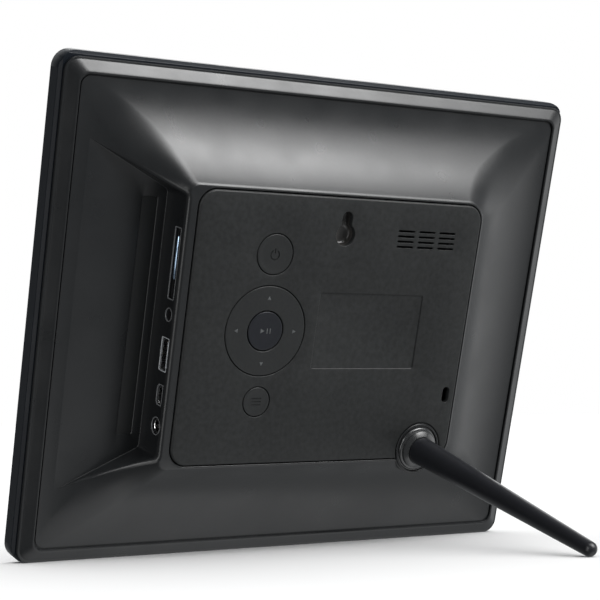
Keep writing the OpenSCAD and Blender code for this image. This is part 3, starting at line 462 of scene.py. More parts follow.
M = {  # one finish for each kind of material
    "bezel": plastic("bezel_plastic", (0.0090, 0.0112, 0.0148), 0.30, 0.7, 0.010, 0.08, 0.12),
    "cover": plastic("cover_plastic", (0.0088, 0.0096, 0.0104), 0.31, 0.6, 0.014, 0.10, 0.44),
    "plate": plastic("plate_plastic", (0.0150, 0.0160, 0.0162), 0.48, 0.8, 0.030, 0.22, 0.24),
    "key": plastic("key_plastic", (0.0165, 0.0175, 0.0178), 0.42, 0.5, 0.010, 0.10, 0.25),
    "sign": plastic("sign_print", (0.085, 0.090, 0.092), 0.50, 0.4, 0.006, 0.12, 0.30),
    "play": plastic("play_key_plastic", (0.0125, 0.0136, 0.0168), 0.34, 0.5, 0.006, 0.08, 0.22),
    "turret": plastic("turret_plastic", (0.0190, 0.0200, 0.0208), 0.25, 0.6, 0.006, 0.08, 0.75),
    "leg": plastic("leg_plastic", (0.0118, 0.0124, 0.0148), 0.34, 0.7, 0.012, 0.10, 0.38),
    # painted highlight: pale rims that stand in for the light caught by the socket mouths' edges
    "lip": plastic("socket_lip_painted_highlight", (0.15, 0.154, 0.16), 0.32, 0.4, 0.004, 0.10, 0.5),
    # painted highlight: a pale rim and bar that stand in for the bright lines along the USB mouth's metal
    "rim": plastic("usb_rim_painted_highlight", (0.46, 0.48, 0.50), 0.25, 0.4, 0.004, 0.10, 0.8),
    "strip": plastic("port_strip_finish", (0.0086, 0.0094, 0.0098), 0.40, 0.5, 0.006, 0.10, 0.36),
    # painted light: the keyhole's cup is coloured lighter than the plate, so the recess reads brighter
    # than its lighting makes it
    "pocket": plastic("keyhole_pocket_painted_light", (0.038, 0.036, 0.034), 0.30, 0.5, 0.006, 0.16, 0.7),
    "card_edge": metal("card_slot_edge", (0.42, 0.55, 0.72), 0.22, (1, 1, 6)),
    "socket": plastic("socket_black", (0.012, 0.012, 0.013), 0.35, 0.3, 0.004, 0.08),
    "switch": plastic("switch_dark", (0.03, 0.03, 0.032), 0.4, 0.3, 0.004),
    "chip": plastic("chip_black", (0.018, 0.018, 0.019), 0.5, 0.2, 0.004),
    "ivory": plastic("ivory_plastic", (0.62, 0.58, 0.46), 0.45, 0.4, 0.004),
    "cone": plastic("cone_black", (0.012, 0.012, 0.012), 0.6, 0.3, 0.01),
    "foam": plastic("foam_black", (0.014, 0.014, 0.014), 0.9, 0.4, 0.06, 0.3),
    "wire": plastic("wire_red", (0.38, 0.02, 0.015), 0.35, 0.5, 0.003),
    "flat": plastic("flat_cable", (0.52, 0.30, 0.08), 0.4, 0.8, 0.004),
    "steel": metal("screw_steel", (0.56, 0.57, 0.58), 0.3),
    "tray": metal("tray_metal", (0.72, 0.73, 0.74), 0.34, (1, 1, 12)),
    "bracket": metal("bracket_metal", (0.66, 0.67, 0.68), 0.32, (8, 1, 1)),
    "shell": metal("socket_shell", (0.80, 0.81, 0.82), 0.24, (1, 6, 1)),
    "pin": metal("pin_metal", (0.86, 0.86, 0.85), 0.14),
    "gold": metal("contact_gold", (0.86, 0.62, 0.24), 0.2),
    "brass": metal("insert_brass", (0.72, 0.55, 0.25), 0.3),
    "magnet": metal("magnet_steel", (0.5, 0.5, 0.52), 0.38),
    "basket": metal("speaker_steel", (0.4, 0.4, 0.42), 0.4),
}


def board_material():
    """Green laminate with masked tracks under the lacquer."""
    mat, n, l, p = shader("circuit_board", (0.01, 0.12, 0.05), 0.28, coat=0.4)
    bricks = preset(n.new("ShaderNodeTexBrick"), {
        "Scale": 260, "Mortar Size": 0.03, "Color1": (0.01, 0.13, 0.05, 1),
        "Color2": (0.015, 0.17, 0.07, 1), "Mortar": (0.02, 0.22, 0.09, 1)})
    co = n.new("ShaderNodeTexCoord")
    l.new(co.outputs["Object"], bricks.inputs["Vector"])
    l.new(bricks.outputs["Color"], p.inputs["Base Color"])
    l.new(bump(n, l, bricks.outputs["Fac"], 0.02 * MM), p.inputs["Normal"])
    return mat


def glass_material(name, color, alpha, rough):
    """Smooth glass with a faint film and a little dust."""
    mat, n, l, p = shader(name, color, rough, specular=0.5, coat=0.3, coat_rough=0.04)
    film = noise(n, l, 40, 2.0)
    l.new(spread(n, l, film, rough, rough + 0.05), p.inputs["Roughness"])
    dust = noise(n, l, 700, 2.0)
    l.new(tint(n, l, dust, color, tuple(c * 1.6 + 0.002 for c in color), 0.55, 0.85),
          p.inputs["Base Color"])
    p.inputs["Alpha"].default_value = alpha
    return mat


M["board"] = board_material()
M["window"] = glass_material("clear_window", (0.006, 0.006, 0.008), 0.55, 0.05)
M["display"] = glass_material("display_glass", (0.008, 0.009, 0.012), 1.0, 0.12)


# ---- the rear cover's surface

def flare_u(r, z):
    """Inset of a flare of radius r at height z."""
    inset, low = RIM
    return (inset - r * sin(RIM_LEAN)
            + np.sqrt(np.maximum(r * r - (low + r * cos(RIM_LEAN) - z) ** 2, 0)))


def contour(z):
    """x0, x1, half height and the two corner radii of the cover's outline at height z."""
    near, far, ends = (flare_u(r, z) for r in FLARES)
    s = np.clip((ends - RIM[0]) / 36, 0, 1.2)
    soft = 38 * s * (1 - s)  # the mitres are widest halfway up
    return (near - COVER[0], COVER[0] - far, COVER[1] - ends,
            4.2 + 0.4 * s + 0.75 * soft, 4.2 + 4.6 * s + soft)


def raw_height(x, y):
    """Height of the flares, found by halving between the rim and a level over the plateau."""
    lo = np.full(np.shape(x), RIM[1])
    hi = np.full(np.shape(x), 25.0)
    for _ in range(34):
        z = (lo + hi) / 2
        x0, x1, h, r0, r1 = contour(z)
        px = x - (x0 + x1) / 2
        r = np.where(px > 0, r1, r0)
        qx, qy = np.abs(px) - ((x1 - x0) / 2 - r), np.abs(y) - (h - r)
        out = np.hypot(np.maximum(qx, 0), np.maximum(qy, 0)) + np.minimum(np.maximum(qx, qy), 0) - r > 0
        hi, lo = np.where(out, z, hi), np.where(out, lo, z)
    return (lo + hi) / 2


def height(x, y):
    """The cover's outer height, its edge with the plateau eased."""
    x, y = np.asarray(x, float), np.asarray(y, float)
    a, k = raw_height(x, y), 0.8
    h = np.maximum(k - np.abs(a - PLATEAU), 0) / k
    return np.minimum(a, PLATEAU) - h * h * k / 4


def steepness(x, y, e=0.04):
    return ((height(x + e, y) - height(x - e, y)) / (2 * e),
            (height(x, y + e) - height(x, y - e)) / (2 * e))


def surface_normals(x, y):
    gx, gy = steepness(x.astype(float), y.astype(float))
    n = np.stack([-gx, -gy, np.ones_like(gx)], 1)
    return n / np.linalg.norm(n, axis=1)[:, None]


def inner_top(x, y):
    """The cover's inner height: one wall under the outer one, and over the pocket's floor."""
    gx, gy = steepness(x, y, 0.3)
    deep = height(x, y) - COVER_WALL * np.minimum(np.sqrt(1 + gx * gx + gy * gy), 1.5)
    return np.maximum(deep, FLOOR - COVER_WALL)


def contour_loop(z, side):
    x0, x1, h, r0, r1 = (float(v) for v in contour(np.array(z)))
    return rounded_box(x0, x1, -h, h, r0, r1, (side, side), 12)


POCKET_R, POCKET_HALF, POCKET_END = 2.5, 52.5, -115.2  # corner, half height at the wall, outer end


def pocket_path(grow):
    """Plan of the port pocket from the crease's upper end round to its lower end: points, outward
    normals, and the index range of the flat socket wall."""
    crease = float(contour(np.array(FLOOR))[0]) + 0.02
    slope = 20 / (WALL_X - POCKET_END)
    lean = atan(slope)
    wall = WALL_X + grow
    lift = grow / cos(lean)

    def edge(x):
        return POCKET_HALF + slope * (WALL_X - x) + lift
    k = POCKET_R + grow
    cx = wall - k
    cy = edge(cx) - k / cos(lean)
    a0 = 90 - degrees(lean)
    tx, ty = polar(k, a0, cx, cy)
    start = crease - 0.3 * grow
    bends = 8
    up = line((start, edge(start)), (tx, ty), 22)
    turn = arc(cx, cy, k, a0, 0, bends)
    flat = line((wall, cy), (wall, -cy), 30)
    low = [(x, -y) for x, y in reversed(up + turn)]
    n_up = [(sin(lean), cos(lean))] * len(up)
    n_turn = [polar(1, a0 * (1 - i / bends)) for i in range(bends)]
    normals = n_up + n_turn + [(1, 0)] * (len(flat) + 1)
    normals += [(x, -y) for x, y in reversed(n_up + n_turn)]
    first = len(up) + len(turn)
    return np.array(up + turn + flat + [(wall, -cy)] + low), np.array(normals), (first, first + len(flat))


def clipped(w, h, r, rr, n_arc, outer):
    """A closed rounded rectangle that starts inside a circle of radius rr round the turret's
    centre, with the part in the circle replaced by the circle's outer side or its inner side."""
    cx, cy = STAND
    p = np.array(line((w - r, -h), (w - r, -h), 1) + arc(w - r, -h + r, r, -90, 0, 90)
                 + line((w, -h + r), (w, h - r), 60) + arc(w - r, h - r, r, 0, 90, 45)
                 + line((w - r, h), (-w + r, h), 80) + arc(-w + r, h - r, r, 90, 180, 45)
                 + line((-w, h - r), (-w, -h + r), 60) + arc(-w + r, -h + r, r, 180, 270, 45)
                 + line((-w + r, -h), (w - r, -h), 240))
    far = np.hypot(p[:, 0] - cx, p[:, 1] - cy) - rr
    first = next(i for i in range(len(p)) if far[i] < 0 <= far[i + 1])
    last = next(i for i in range(len(p) - 1, 0, -1) if far[i] < 0 <= far[i - 1])

    def meet(i, j):
        return p[i] + (p[j] - p[i]) * (far[i] / (far[i] - far[j]))
    b, a = meet(first, first + 1), meet(last - 1, last)
    part = np.vstack([b, p[first + 1:last], a])
    step = np.diff(part, axis=0)
    run = np.concatenate([[0], np.cumsum(np.hypot(*step.T))])
    way = np.unwrap(np.arctan2(step[:, 1], step[:, 0]))
    turn = np.interp(run, (run[:-1] + run[1:]) / 2, np.abs(way - way[0]))
    key = run / run[-1] * 0.45 + (turn - turn[0]) / (turn[-1] - turn[0]) * 0.55
    even = np.linspace(0, 1, 150)
    q = np.stack([np.interp(even, key, part[:, 0]), np.interp(even, key, part[:, 1])], 1)
    a0 = degrees(atan2(a[1] - cy, a[0] - cx))
    b0 = degrees(atan2(b[1] - cy, b[0] - cx))
    if not outer:
        a0 += 360
    return [tuple(v) for v in q] + arc(cx, cy, rr, a0, b0, n_arc)[1:]


def opening(grow=0.0):
    """The plate's opening joined with the turret's housing: counter-clockwise from the meeting point
    on the right to the one on the left, then along the housing's outer side."""
    w, h, r = (v + PLATE_GAP + grow for v in PLATE)
    return clipped(w, h, r, HOUSING_R, 20, outer=True)


def mini_outline(grow=0.0):
    """The small USB mouth: a rectangle with its two lower corners cut off."""
    w, h, c = 3.85 + 0.3 + grow, 1.95 + 0.3 + grow, 1.2 + 0.3
    y, z = MINI_Y, SOCKET_Z
    k = 0.414 * (grow + 0.3)
    return [(y - w + c - k, z - h), (y + w - c + k, z - h), (y + w, z - h + c - k), (y + w, z + h),
            (y - w, z + h), (y - w, z - h + c - k)]


PORTS = {  # outlines in the wall's own plane, y and z
    "card": rect(14.15, 2.4, 0.5, CARD_Y, SOCKET_Z, 4, (2, 1)),
    "audio": circle(AUDIO_Y, SOCKET_Z, 2.6, 40),
    "usb": rect(6.85, 3.15, 0.4, USB_Y, SOCKET_Z, 4, (2, 1)),
    "mini": mini_outline,
    "dc": circle(DC_Y, SOCKET_Z, 3.5, 44),
}


GROOVE_Z, GROOVE_RISE = 2.9, 0.45  # the groove round the flares


def cover_shell():
    """The rear cover: outer and inner face, port pocket with its mouths, and the plate's opening."""
    s = Shell()

    def border(inset, z, r):
        points = rect(COVER[0] - inset, COVER[1] - inset, r, 0, 0, 12, (30, 24))()
        if z != GROOVE_Z:
            return at_z(points, z)
        # the groove is shallower along the lower edge
        return [(x, y, z + GROOVE_RISE * min(max((12 - COVER[1] - y) / 6, 0.0), 1.0))
                for x, y in points]
    # inset, height and corner radius: the groove, the bevel, then the edge down to the bezel
    rim = [(6.62, 3.6, 4.1), (6.55, 3.54, 4.1), (6.5, GROOVE_Z, 4.15), (5.94, GROOVE_Z, 4.2),
           (5.9, 4.1, 4.2), (5.84, 4.22, 4.22), (5.66, 4.27, 4.25), (5.36, 4.26, 4.3),
           (5.08, 4.18, 4.34), (4.8, 4.05, 4.4)]
    rim += [(4.8 - 3.5 * t, 4.05 - 1.86 * t, 4.4 + 0.45 * t) for t in (0.2, 0.4, 0.6, 0.8, 1.0)]
    rim += [(1.16, 2.1, 4.9), (1.04, 2.03, 4.95), (0.9, 2.0, 5.0), (0.36, 2.0, 5.7),
            (0.15, 1.94, 5.85), (0.04, 1.8, 5.95), (0.0, 1.6, 6.0), (0.0, 0.82, 6.0),
            (0.05, 0.72, 5.95), (0.15, 0.68, 5.9), (1.1, 0.68, 5.3), (1.1, 0.0, 5.3),
            (2.0, 0.0, 4.6), (2.0, 0.9, 4.6), (5.9, 1.5, 4.2), (6.62, 1.6, 4.1)]
    loops = s.loft([border(*k) for k in rim])
    outer, inner = loops[0], loops[-1]

    def pocket(grow, fillet, base, low, high):
        """The port pocket's walls between its eased rim and its foot."""
        path, nrm, (i0, i1) = pocket_path(grow)
        z = high(path[:, 0], path[:, 1])
        drop = np.maximum(z - low, 0)
        lip = np.minimum(fillet, 0.45 * drop)
        foot = np.minimum(base, 0.45 * drop)
        rows = []
        for k in range(6):
            a = pi / 2 * k / 5
            p = path + nrm * (lip * (1 - sin(a)))[:, None]
            rows.append(np.column_stack([p, high(p[:, 0], p[:, 1]) - lip * (1 - cos(a))]))
        for k in range(5):
            a = pi / 2 * k / 4
            p = path - nrm * (foot * (1 - cos(a)))[:, None]
            rows.append(np.column_stack([p, low + foot * (1 - sin(a)) + 0 * z]))
        ids = [s.loop(r) for r in rows]
        for a, b in zip(ids, ids[1:]):
            if a is ids[5]:
                s.strip(a[:i0 + 1], b[:i0 + 1], False)
                s.strip(a[i1:], b[i1:], False)
            else:
                s.strip(a, b, False)
        x = path[0, 0]
        ends = (rows[0][0], rows[0][-1])
        crease = s.loop([(x, ends[1][1] + (ends[0][1] - ends[1][1]) * i / 24, low)
                         for i in range(1, 24)])
        return ids, crease, (i0, i1)

    ids, crease, (i0, i1) = pocket(0.0, 1.9, 0.3, FLOOR, height)
    ids2, crease2, (k0, k1) = pocket(COVER_WALL, 0.05, 0.05, FLOOR - COVER_WALL, inner_top)

    # the socket wall with its mouths
    mouths, backs = [], []
    for outline in PORTS.values():
        made = s.loft([[(WALL_X + d, *p) for p in outline(g)]
                       for g, d in ((0.28, 0.0), (0.1, 0.06), (0.03, 0.14), (0, 0.3), (0, COVER_WALL))])
        mouths.append(made[0])
        backs.append(made[-1])
    for rows, (a, b), holes in ((ids, (i0, i1), mouths), (ids2, (k0, k1), backs)):
        top, low = rows[5][a:b + 1], rows[6][a:b + 1]
        s.fill(top + low[::-1], holes, flat=(1, 2))

    # pocket floor with the bare shallow strip, and its underside
    strip = rect(3.4, 48, 0.5, *STRIP, 4, (2, 12))
    made = s.loft([at_z(strip(g), FLOOR - d)
                   for g, d in ((0.3, 0), (0.1, 0.06), (0, 0.16), (-0.05, 0.25))])
    s.cap(made[-1])
    s.fill(ids[-1] + crease, [made[0]])
    s.fill(ids2[-1] + crease2)

    # the plate's opening
    rows = []
    for g, d in round_in(0.5):
        p = np.array(opening(g))
        rows.append(np.column_stack([p, height(p[:, 0], p[:, 1]) - d]))
    p = np.array(opening(0))
    for fall in (0.5, 1.0):
        rows.append(np.column_stack([p, (1 - fall) * (height(p[:, 0], p[:, 1]) - 0.5)
                                     + fall * np.minimum(inner_top(p[:, 0], p[:, 1]), 18.0)]))
    made = s.loft(rows)

    def scatter(levels, side, holes, gap):
        """Points along the contours, clear of the holes, and the contours' edges between them."""
        pts = np.array([q for z in levels for q in contour_loop(z, side)])
        per = len(pts) // len(levels)
        keep = np.ones(len(pts), bool)
        for h in holes:
            ring = s.plan(h)
            keep &= ~inside(pts, ring)
            for a, b in zip(ring, np.roll(ring, -1, 0)):
                d = b - a
                t = np.clip(((pts - a) @ d) / max(d @ d, 1e-9), 0, 1)
                keep &= np.hypot(*(pts - a - t[:, None] * d).T) > gap
        new = np.cumsum(keep) - 1
        rows = []
        for k in range(len(levels)):
            for i in range(per):
                a, b = k * per + i, k * per + (i + 1) % per
                if keep[a] and keep[b] and np.hypot(*(pts[a] - pts[b])) < 9:
                    rows.append((int(new[a]), int(new[b])))
        return {"extra": [tuple(q) for q in pts[keep]], "rows": rows}

    # flare and plateau, and the inside
    hole = ids[0] + crease
    levels = ([3.65, 3.72, 3.9, FLOOR] + [FLOOR + (19.9 - FLOOR) * (i / 26) ** 1.3 for i in range(1, 27)]
              + [20.15, 20.4, 20.6, 20.8, 21.0, 21.2, 21.4, 21.6, 21.8, 22.0])
    s.fill(outer, [hole, made[0]], lift=height, exact=True,
           **scatter(levels, 32, [hole, made[0]], 0.22))
    hole2 = ids2[0] + crease2
    levels = [4.4 + 1.3 * i for i in range(13)]
    s.fill(inner, [hole2, made[-1]], lift=inner_top, **scatter(levels, 22, [hole2, made[-1]], 1.2))
    return s


def housing_shell():
    """The round housing that the stand's turret turns in, with its eased mouth and a small fillet."""
    prof = rounded([(11.2, 13.5), (11.2, 22.0), (10.28, 22.0), (10.28, 16.0), (5.5, 16.0), (5.5, 14.6),
                    (9.0, 14.6), (9.0, 13.5)], p1=0.45, p2=0.2)
    collar = [(11.1, 20.4), (11.75, 20.4), (11.75, 21.02), (11.1, 21.1)]
    ring = at_stand(joined(lathe(prof, 96), lathe(collar, 96)))
    skirt = Shell()
    angles = [radians(a) for a in range(-158, -14, 4)]
    rows = []
    for k in range(6):
        t = pi / 2 * k / 5
        row = []
        for a in angles:
            taper = min(1.0, (a - angles[0]) * 4, (angles[-1] - a) * 4) * 0.8 + 1e-3
            rr = 11.18 + taper * (1 - sin(t))
            x, y = STAND[0] + rr * cos(a), STAND[1] + rr * sin(a)
            row.append((x, y, float(height(x, y)) + taper * (1 - cos(t)) - 0.01))
        rows.append(row)
    skirt.loft(rows, closed=False)
    return ring, skirt


shell = cover_shell()
# the cover's border sits a little low in the bezel
for v in shell.v:
    for way, shift in ((1, 0.62), (-1, 0.4)):
        t = min(max((way * v.y - COVER[1] + 16) / 8, 0.0), 1.0)
        v.y -= shift * t * t * (3 - 2 * t)
ring, skirt = housing_shell()
cover = make("rear_cover_shell", joined(shell, ring), "frame", "cover", 28, surface_normals,
             node="rear_cover")
make("housing_fillet", skirt, "frame", "cover", 60)
make("cover_posts", cad_apart("rear_cover", cover, 0.9, lambda x, y: height(x, y) - 2.6), "frame",
     "cover")


# ---- back plate

KEYHOLE = (40.6, 7.1, 4.6, 2.5)  # place, the slot's length, and both radii
LOCK_SLOT = (64.1, -27.4, 1.7, 1.8)  # centre, half length of its sides, radius
LABEL = (26, 15.9, 1.0, 17.9, 0.4)  # half sizes, corner radius, centre
GRILLE, GRILLE_STEP = (41.2, 40.1), (10.6, 2.2)  # centre and spacing of the speaker's slots


def keyhole(grow=0.0):
    """The round hole for a screw's head, with the narrow slot over it."""
    y0, up, r, w = KEYHOLE
    r, w = r + grow, w + grow
    meet = degrees(acos(w / r))
    shoulder = y0 + r * sin(radians(meet))
    return (arc(0, y0, r, 180 - meet, 360 + meet, 40) + line((w, shoulder), (w, y0 + up), 3)
            + arc(0, y0 + up, w, 0, 180, 16) + line((-w, y0 + up), (-w, shoulder), 3))


def lock_slot(grow=0.0):
    x, y, half, r = LOCK_SLOT
    return arc(x, y + half, r + grow, 0, 180, 12) + arc(x, y - half, r + grow, 180, 360, 12)


def plate_outline(grow=0.0):
    """The plate's outline with the notch that clears the turret's housing."""
    w, h, r = (v + grow for v in PLATE)
    return clipped(w, h, r, NOTCH_R - grow, 40, outer=False)


POWER, MENU = (31.4, 8.2), (-29.5, 6.1)  # place and radius
RING_R, RING_IN, PLAY_R = 18.5, 8.45, 8.0
KEY_GAP, CAP_LOW = 0.35, 19.98


def plate_shell():
    """The plate's upper face and edge, with the holes for the keys and the recess of the label."""
    s = Shell()
    top, low = PLATE_TOP, PLATE_LOW
    edge = [(0.0, low + 0.1), (0.0, top - 0.7), (-0.05, top - 0.52), (-0.18, top - 0.33),
            (-0.4, top - 0.14), (-0.62, top - 0.04), (-0.8, top)]
    loops = s.loft([at_z(plate_outline(g), z) for g, z in [(-0.12, low)] + edge])
    holes, backs = [], []

    def through(outline, r):
        """A hole with a lip of radius r."""
        rows = s.loft([at_z(outline(g), top - d) for g, d in round_in(r)] + [at_z(outline(0.0), low)])
        holes.append(rows[0])
        backs.append(rows[-1])
    for y, r in (POWER, MENU):
        through(circle(KEYS_X, y, r + KEY_GAP, 72), 0.3)
    through(circle(KEYS_X, 0, RING_R + KEY_GAP, 110), 0.3)
    through(keyhole, 0.22)
    through(lock_slot, 0.2)
    for column in (-1, 0, 1):
        for row in (-1.5, -0.5, 0.5, 1.5):
            at = [c + k * step for c, k, step in zip(GRILLE, (column, row), GRILLE_STEP)]
            through(rect(4.15, 0.45, 0.2, *at, 3, (1, 1)), 0.12)
    label = rect(*LABEL, 6, (4, 3))
    rows = s.loft([at_z(label(g), top - d) for g, d in (
        (0.34, 0), (0.12, 0.08), (0, 0.22), (0, 0.44), (-0.04, 0.51), (-0.12, 0.54))])
    holes.append(rows[0])
    s.cap(rows[-1])
    s.fill(loops[-1], holes)
    s.fill(loops[0], backs)
    return s


make("back_plate_shell", joined(plate_shell(), cad_below("back_plate", PLATE_LOW - 0.02)), "frame",
     "plate", node="back_plate")


def keyhole_pocket():
    """A shallow cup that closes the keyhole behind the screw's head; its paler colour is painted light in
    the recess.
    """
    s = Shell()
    low, deep = PLATE_LOW + 0.25, PLATE_LOW - 2.6
    ids = s.loft([at_z(keyhole(g), z) for g, z in (
        (0.9, deep - 0.8), (0.9, low), (0.05, low), (0.02, deep + 1.3), (-0.25, deep + 0.6),
        (-0.8, deep + 0.15), (-1.5, deep))])
    s.cap(ids[0])
    s.cap(ids[-1])
    return s


# the cup's pale colour is painted light that brightens the recess
make("keyhole_pocket", keyhole_pocket(), "frame", "pocket", 40)


# ---- keys, with their signs sunk into the caps

SINK, INK = 0.28, 0.02  # depth of the signs, and of the print's foot


def triangle(cx, cy, size, way):
    """A triangle that points the way given in degrees."""
    return [polar(size, way + t, cx, cy) for t in (0, 125, 235)]


def bar(cx, cy, w, h):
    w, h = w / 2, h / 2
    return [(cx - w, cy - h), (cx + w, cy - h), (cx + w, cy + h), (cx - w, cy + h)]


def shrink(points, d):
    """A small polygon moved inwards by d along its corners' bisectors."""
    out, n = [], len(points)
    area = sum(p[0] * q[1] - q[0] * p[1] for p, q in zip(points, points[1:] + points[:1]))
    sign = 1 if area > 0 else -1
    for i in range(n):
        p, a, b = Vector(points[i]), Vector(points[i - 1]), Vector(points[(i + 1) % n])
        u, v = (p - a).normalized(), (b - p).normalized()
        nu, nv = Vector((-u.y, u.x)) * sign, Vector((-v.y, v.x)) * sign
        m = (nu + nv).normalized()
        m *= d / max(m.dot(nu), 0.35)
        out.append((p.x + m.x, p.y + m.y))
    return out


def cap_shell(cy, r0, r1, signs, dish):
    """A key's cap round a centre at height cy: round edge, shallow dish, and sunk signs."""
    s = Shell()
    cx, top, edge, n = KEYS_X, PLATE_TOP, 0.42, 96

    def lift(x, y):
        d = np.hypot(np.asarray(x) - cx, np.asarray(y) - cy)
        t = np.clip((r1 - edge - d) / 2.2, 0, 1)
        return top - 0.02 - dish * (t * t * (3 - 2 * t))

    def side(r, way):
        """A side wall with its round edge, which runs outwards or inwards onto the face."""
        rows = [at_z(arc(cx, cy, r, 0, 360, n), z) for z in (CAP_LOW, top - edge)]
        for k in range(1, 6):
            a = pi / 2 * k / 5
            rr = r + way * edge * (1 - cos(a))
            z = top - edge + (edge - 0.02) * sin(a) if k < 5 else float(lift(cx + rr, cy))
            rows.append(at_z(arc(cx, cy, rr, 0, 360, n), z))
        return s.loft(rows)
    outer = side(r1, -1)
    holes = []
    if r0:
        inner = side(r0, 1)
        holes.append(inner[-1])
        s.strip(outer[0], inner[0])
    else:
        s.cap(outer[0])
    for sign in signs:
        sign = [(cx + x, cy + y) for x, y in sign]
        x, y = np.array(sign).T
        z = lift(x, y)
        under = shrink(sign, 0.06)
        a = s.loop([(p[0], p[1], h) for p, h in zip(sign, z)])
        b = s.loop([(p[0], p[1], h - SINK) for p, h in zip(under, z)])
        s.strip(a, b)
        s.fill(b)
        holes.append(a)
    pts = np.array([(cx + rr * cos(t), cy + rr * sin(t))
                    for rr in np.arange(r0 + 0.9, r1 - edge - 0.2, 0.6)
                    for t in np.linspace(0, 2 * pi, max(8, int(rr * 5)), endpoint=False)])
    keep = np.ones(len(pts), bool)
    for h in holes[1 if r0 else 0:]:
        ring = s.plan(h)
        c, span = ring.mean(0), np.abs(ring - ring.mean(0)).max() + 0.25
        keep &= ~((np.abs(pts - c) < span).all(1))
    s.fill(outer[-1], holes, extra=[tuple(p) for p in pts[keep]], lift=lift)
    return s


def band(r, w, gap):
    """A closed band along a circle, open by gap degrees at the top."""
    a, b = 90 + gap / 2, 450 - gap / 2
    return [q for rr, start, end in ((r + w / 2, a, b), (r - w / 2, b, a))
            for q in arc(0, -0.25, rr, start, end, 30) + arc(0, -0.25, rr, end, end + 1, 1)]


POWER_SIGN = [band(1.95, 0.5, 62), bar(0, 1.35, 0.5, 2.1)]
MENU_SIGN = [bar(0, y, 4.4, 0.55) for y in (-1.35, 0, 1.35)]
PLAY_SIGN = [triangle(-1.5, 0, 1.35, 0), bar(0.95, 0, 0.62, 2.3), bar(2.35, 0, 0.62, 2.3)]
SIGN_R = (RING_R + RING_IN) / 2
RING_SIGNS = [triangle(*polar(SIGN_R, a), 1.15, a) for a in (0, 90, 180, 270)]

for node, body, cy, r0, r1, signs, dish, finish in (
        ("power_button", "power_key", POWER[0], 0, POWER[1], POWER_SIGN, 0.22, "key"),
        ("menu_button", "menu_key", MENU[0], 0, MENU[1], MENU_SIGN, 0.22, "key"),
        ("play_button", "play_key", 0, 0, PLAY_R, PLAY_SIGN, 0.12, "play"),
        ("dpad_ring", "dpad", 0, RING_IN, RING_R, RING_SIGNS, 0.0, "key")):
    make(f"{node}_cap", joined(cap_shell(cy, r0, r1, signs, dish), cad_below(node, CAP_LOW + 0.02)),
         body, finish, 32, node=node)


def sign_fill(signs, face):
    """Pale print in the sunk signs, a little below the key's face."""
    s = Shell()
    for sign in signs:
        points = [(KEYS_X + x, y) for x, y in shrink(sign, 0.04)]
        low = s.loop(at_z(points, face - SINK - INK))
        edge = s.loop(at_z(points, face - 0.12))
        rim = s.loop(at_z(shrink(points, 0.05), face - 0.08))
        s.strip(low, edge)
        s.strip(edge, rim)
        s.fill(rim)
        s.fill(low)
    return s


make("play_key_signs", sign_fill(PLAY_SIGN, PLATE_TOP - 0.14), "play_key", "sign", 40)
make("dpad_ring_signs", sign_fill(RING_SIGNS, PLATE_TOP - 0.02), "dpad", "sign", 40)


# ---- stand

def on_leg_axis(shell):
    """A shell made round z, turned onto the leg's axis."""
    x = Vector((1, 0, 0))
    m = Matrix((x, LEG_AXIS.cross(x), LEG_AXIS)).transposed().to_4x4()
    m.translation = LEG_FOOT
    return moved(shell, m)


def turret_parts():
    """The disc in the housing, and the flange and shallow dome that the leg screws into."""
    disc = at_stand(lathe(rounded([(0, 18.0), (10.3, 18.0), (10.3, 21.34), (0, 21.34)], p2=0.3), 96))
    crown = [polar(14, a, 0, 5.8 - 14) for a in (53.4, 55, 57.5, 60, 62.4)]
    flange = [(9.7, 1.0), (9.66, 1.3), (9.5, 1.62), (9.24, 1.86), (8.94, 1.98), (8.7, 2.0),
              (8.52, 2.06), (8.42, 2.24)]
    socket = [(6.42, 4.2), (4.0, 4.2), (4.0, 3.0), (0, 3.0)]
    dome = lathe([(0, 0.2), (9.7, 0.2)] + flange + crown + socket, 96)
    return joined(disc, on_leg_axis(dome), cad_below("stand_turret", 18.05))


make("stand_turret_cap", turret_parts(), "turret", "turret",
     node="stand_turret")

LEG_LOW, LEG_LENGTH, LEG_R, TIP_R = 4.2, 113.5, 6.1, 3.1
leg_profile = [(2.46, 4.2), (5.75, 4.2), (5.98, 4.28), (6.1, 4.5), (6.06, 5.6)]
leg_profile += [(LEG_R + (TIP_R - LEG_R) * t, LEG_LOW + LEG_LENGTH * t)
                for t in (0.05, 0.2, 0.4, 0.6, 0.8, 0.96)]
leg_profile += arc(0, LEG_LOW + LEG_LENGTH, TIP_R, 0, 90, 9)
leg_profile += [(0, LEG_LOW + LEG_LENGTH + TIP_R), (0, 13.3), (2.46, 13.2)]
make("stand_leg_rod", on_leg_axis(lathe(leg_profile, 72)), "leg", "leg", 40,
     node="stand_leg")


# ---- contacts inside the sockets

def box(x0, x1, y0, y1, z0, z1, bend=0.0):
    """A spring contact along x, bent towards z by bend at its middle."""
    s = Shell()
    rows = []
    for i in range(7):
        t = i / 6
        x, lift = x0 + (x1 - x0) * t, bend * sin(pi * t)
        rows.append([(x, y0, z0 + lift), (x, y1, z0 + lift), (x, y1, z1 + lift), (x, y0, z1 + lift)])
    loops = s.loft(rows)
    s.cap(loops[0])
    s.cap(loops[-1])
    return s


def in_wall(profile, n, y):
    """A turned piece whose axis runs into the side wall at a socket's height."""
    return moved(lathe(profile, n), Matrix(((0, 0, 1, WALL_X), (0, 1, 0, y), (-1, 0, 0, SOCKET_Z),
                                            (0, 0, 0, 1))))


def springs(x0, x1, y, spread_y, half, z0, z1, bend):
    """A row of spring contacts."""
    return joined(*[box(WALL_X + x0, WALL_X + x1, y + d - half, y + d + half, z0, z1, bend)
                    for d in spread_y])


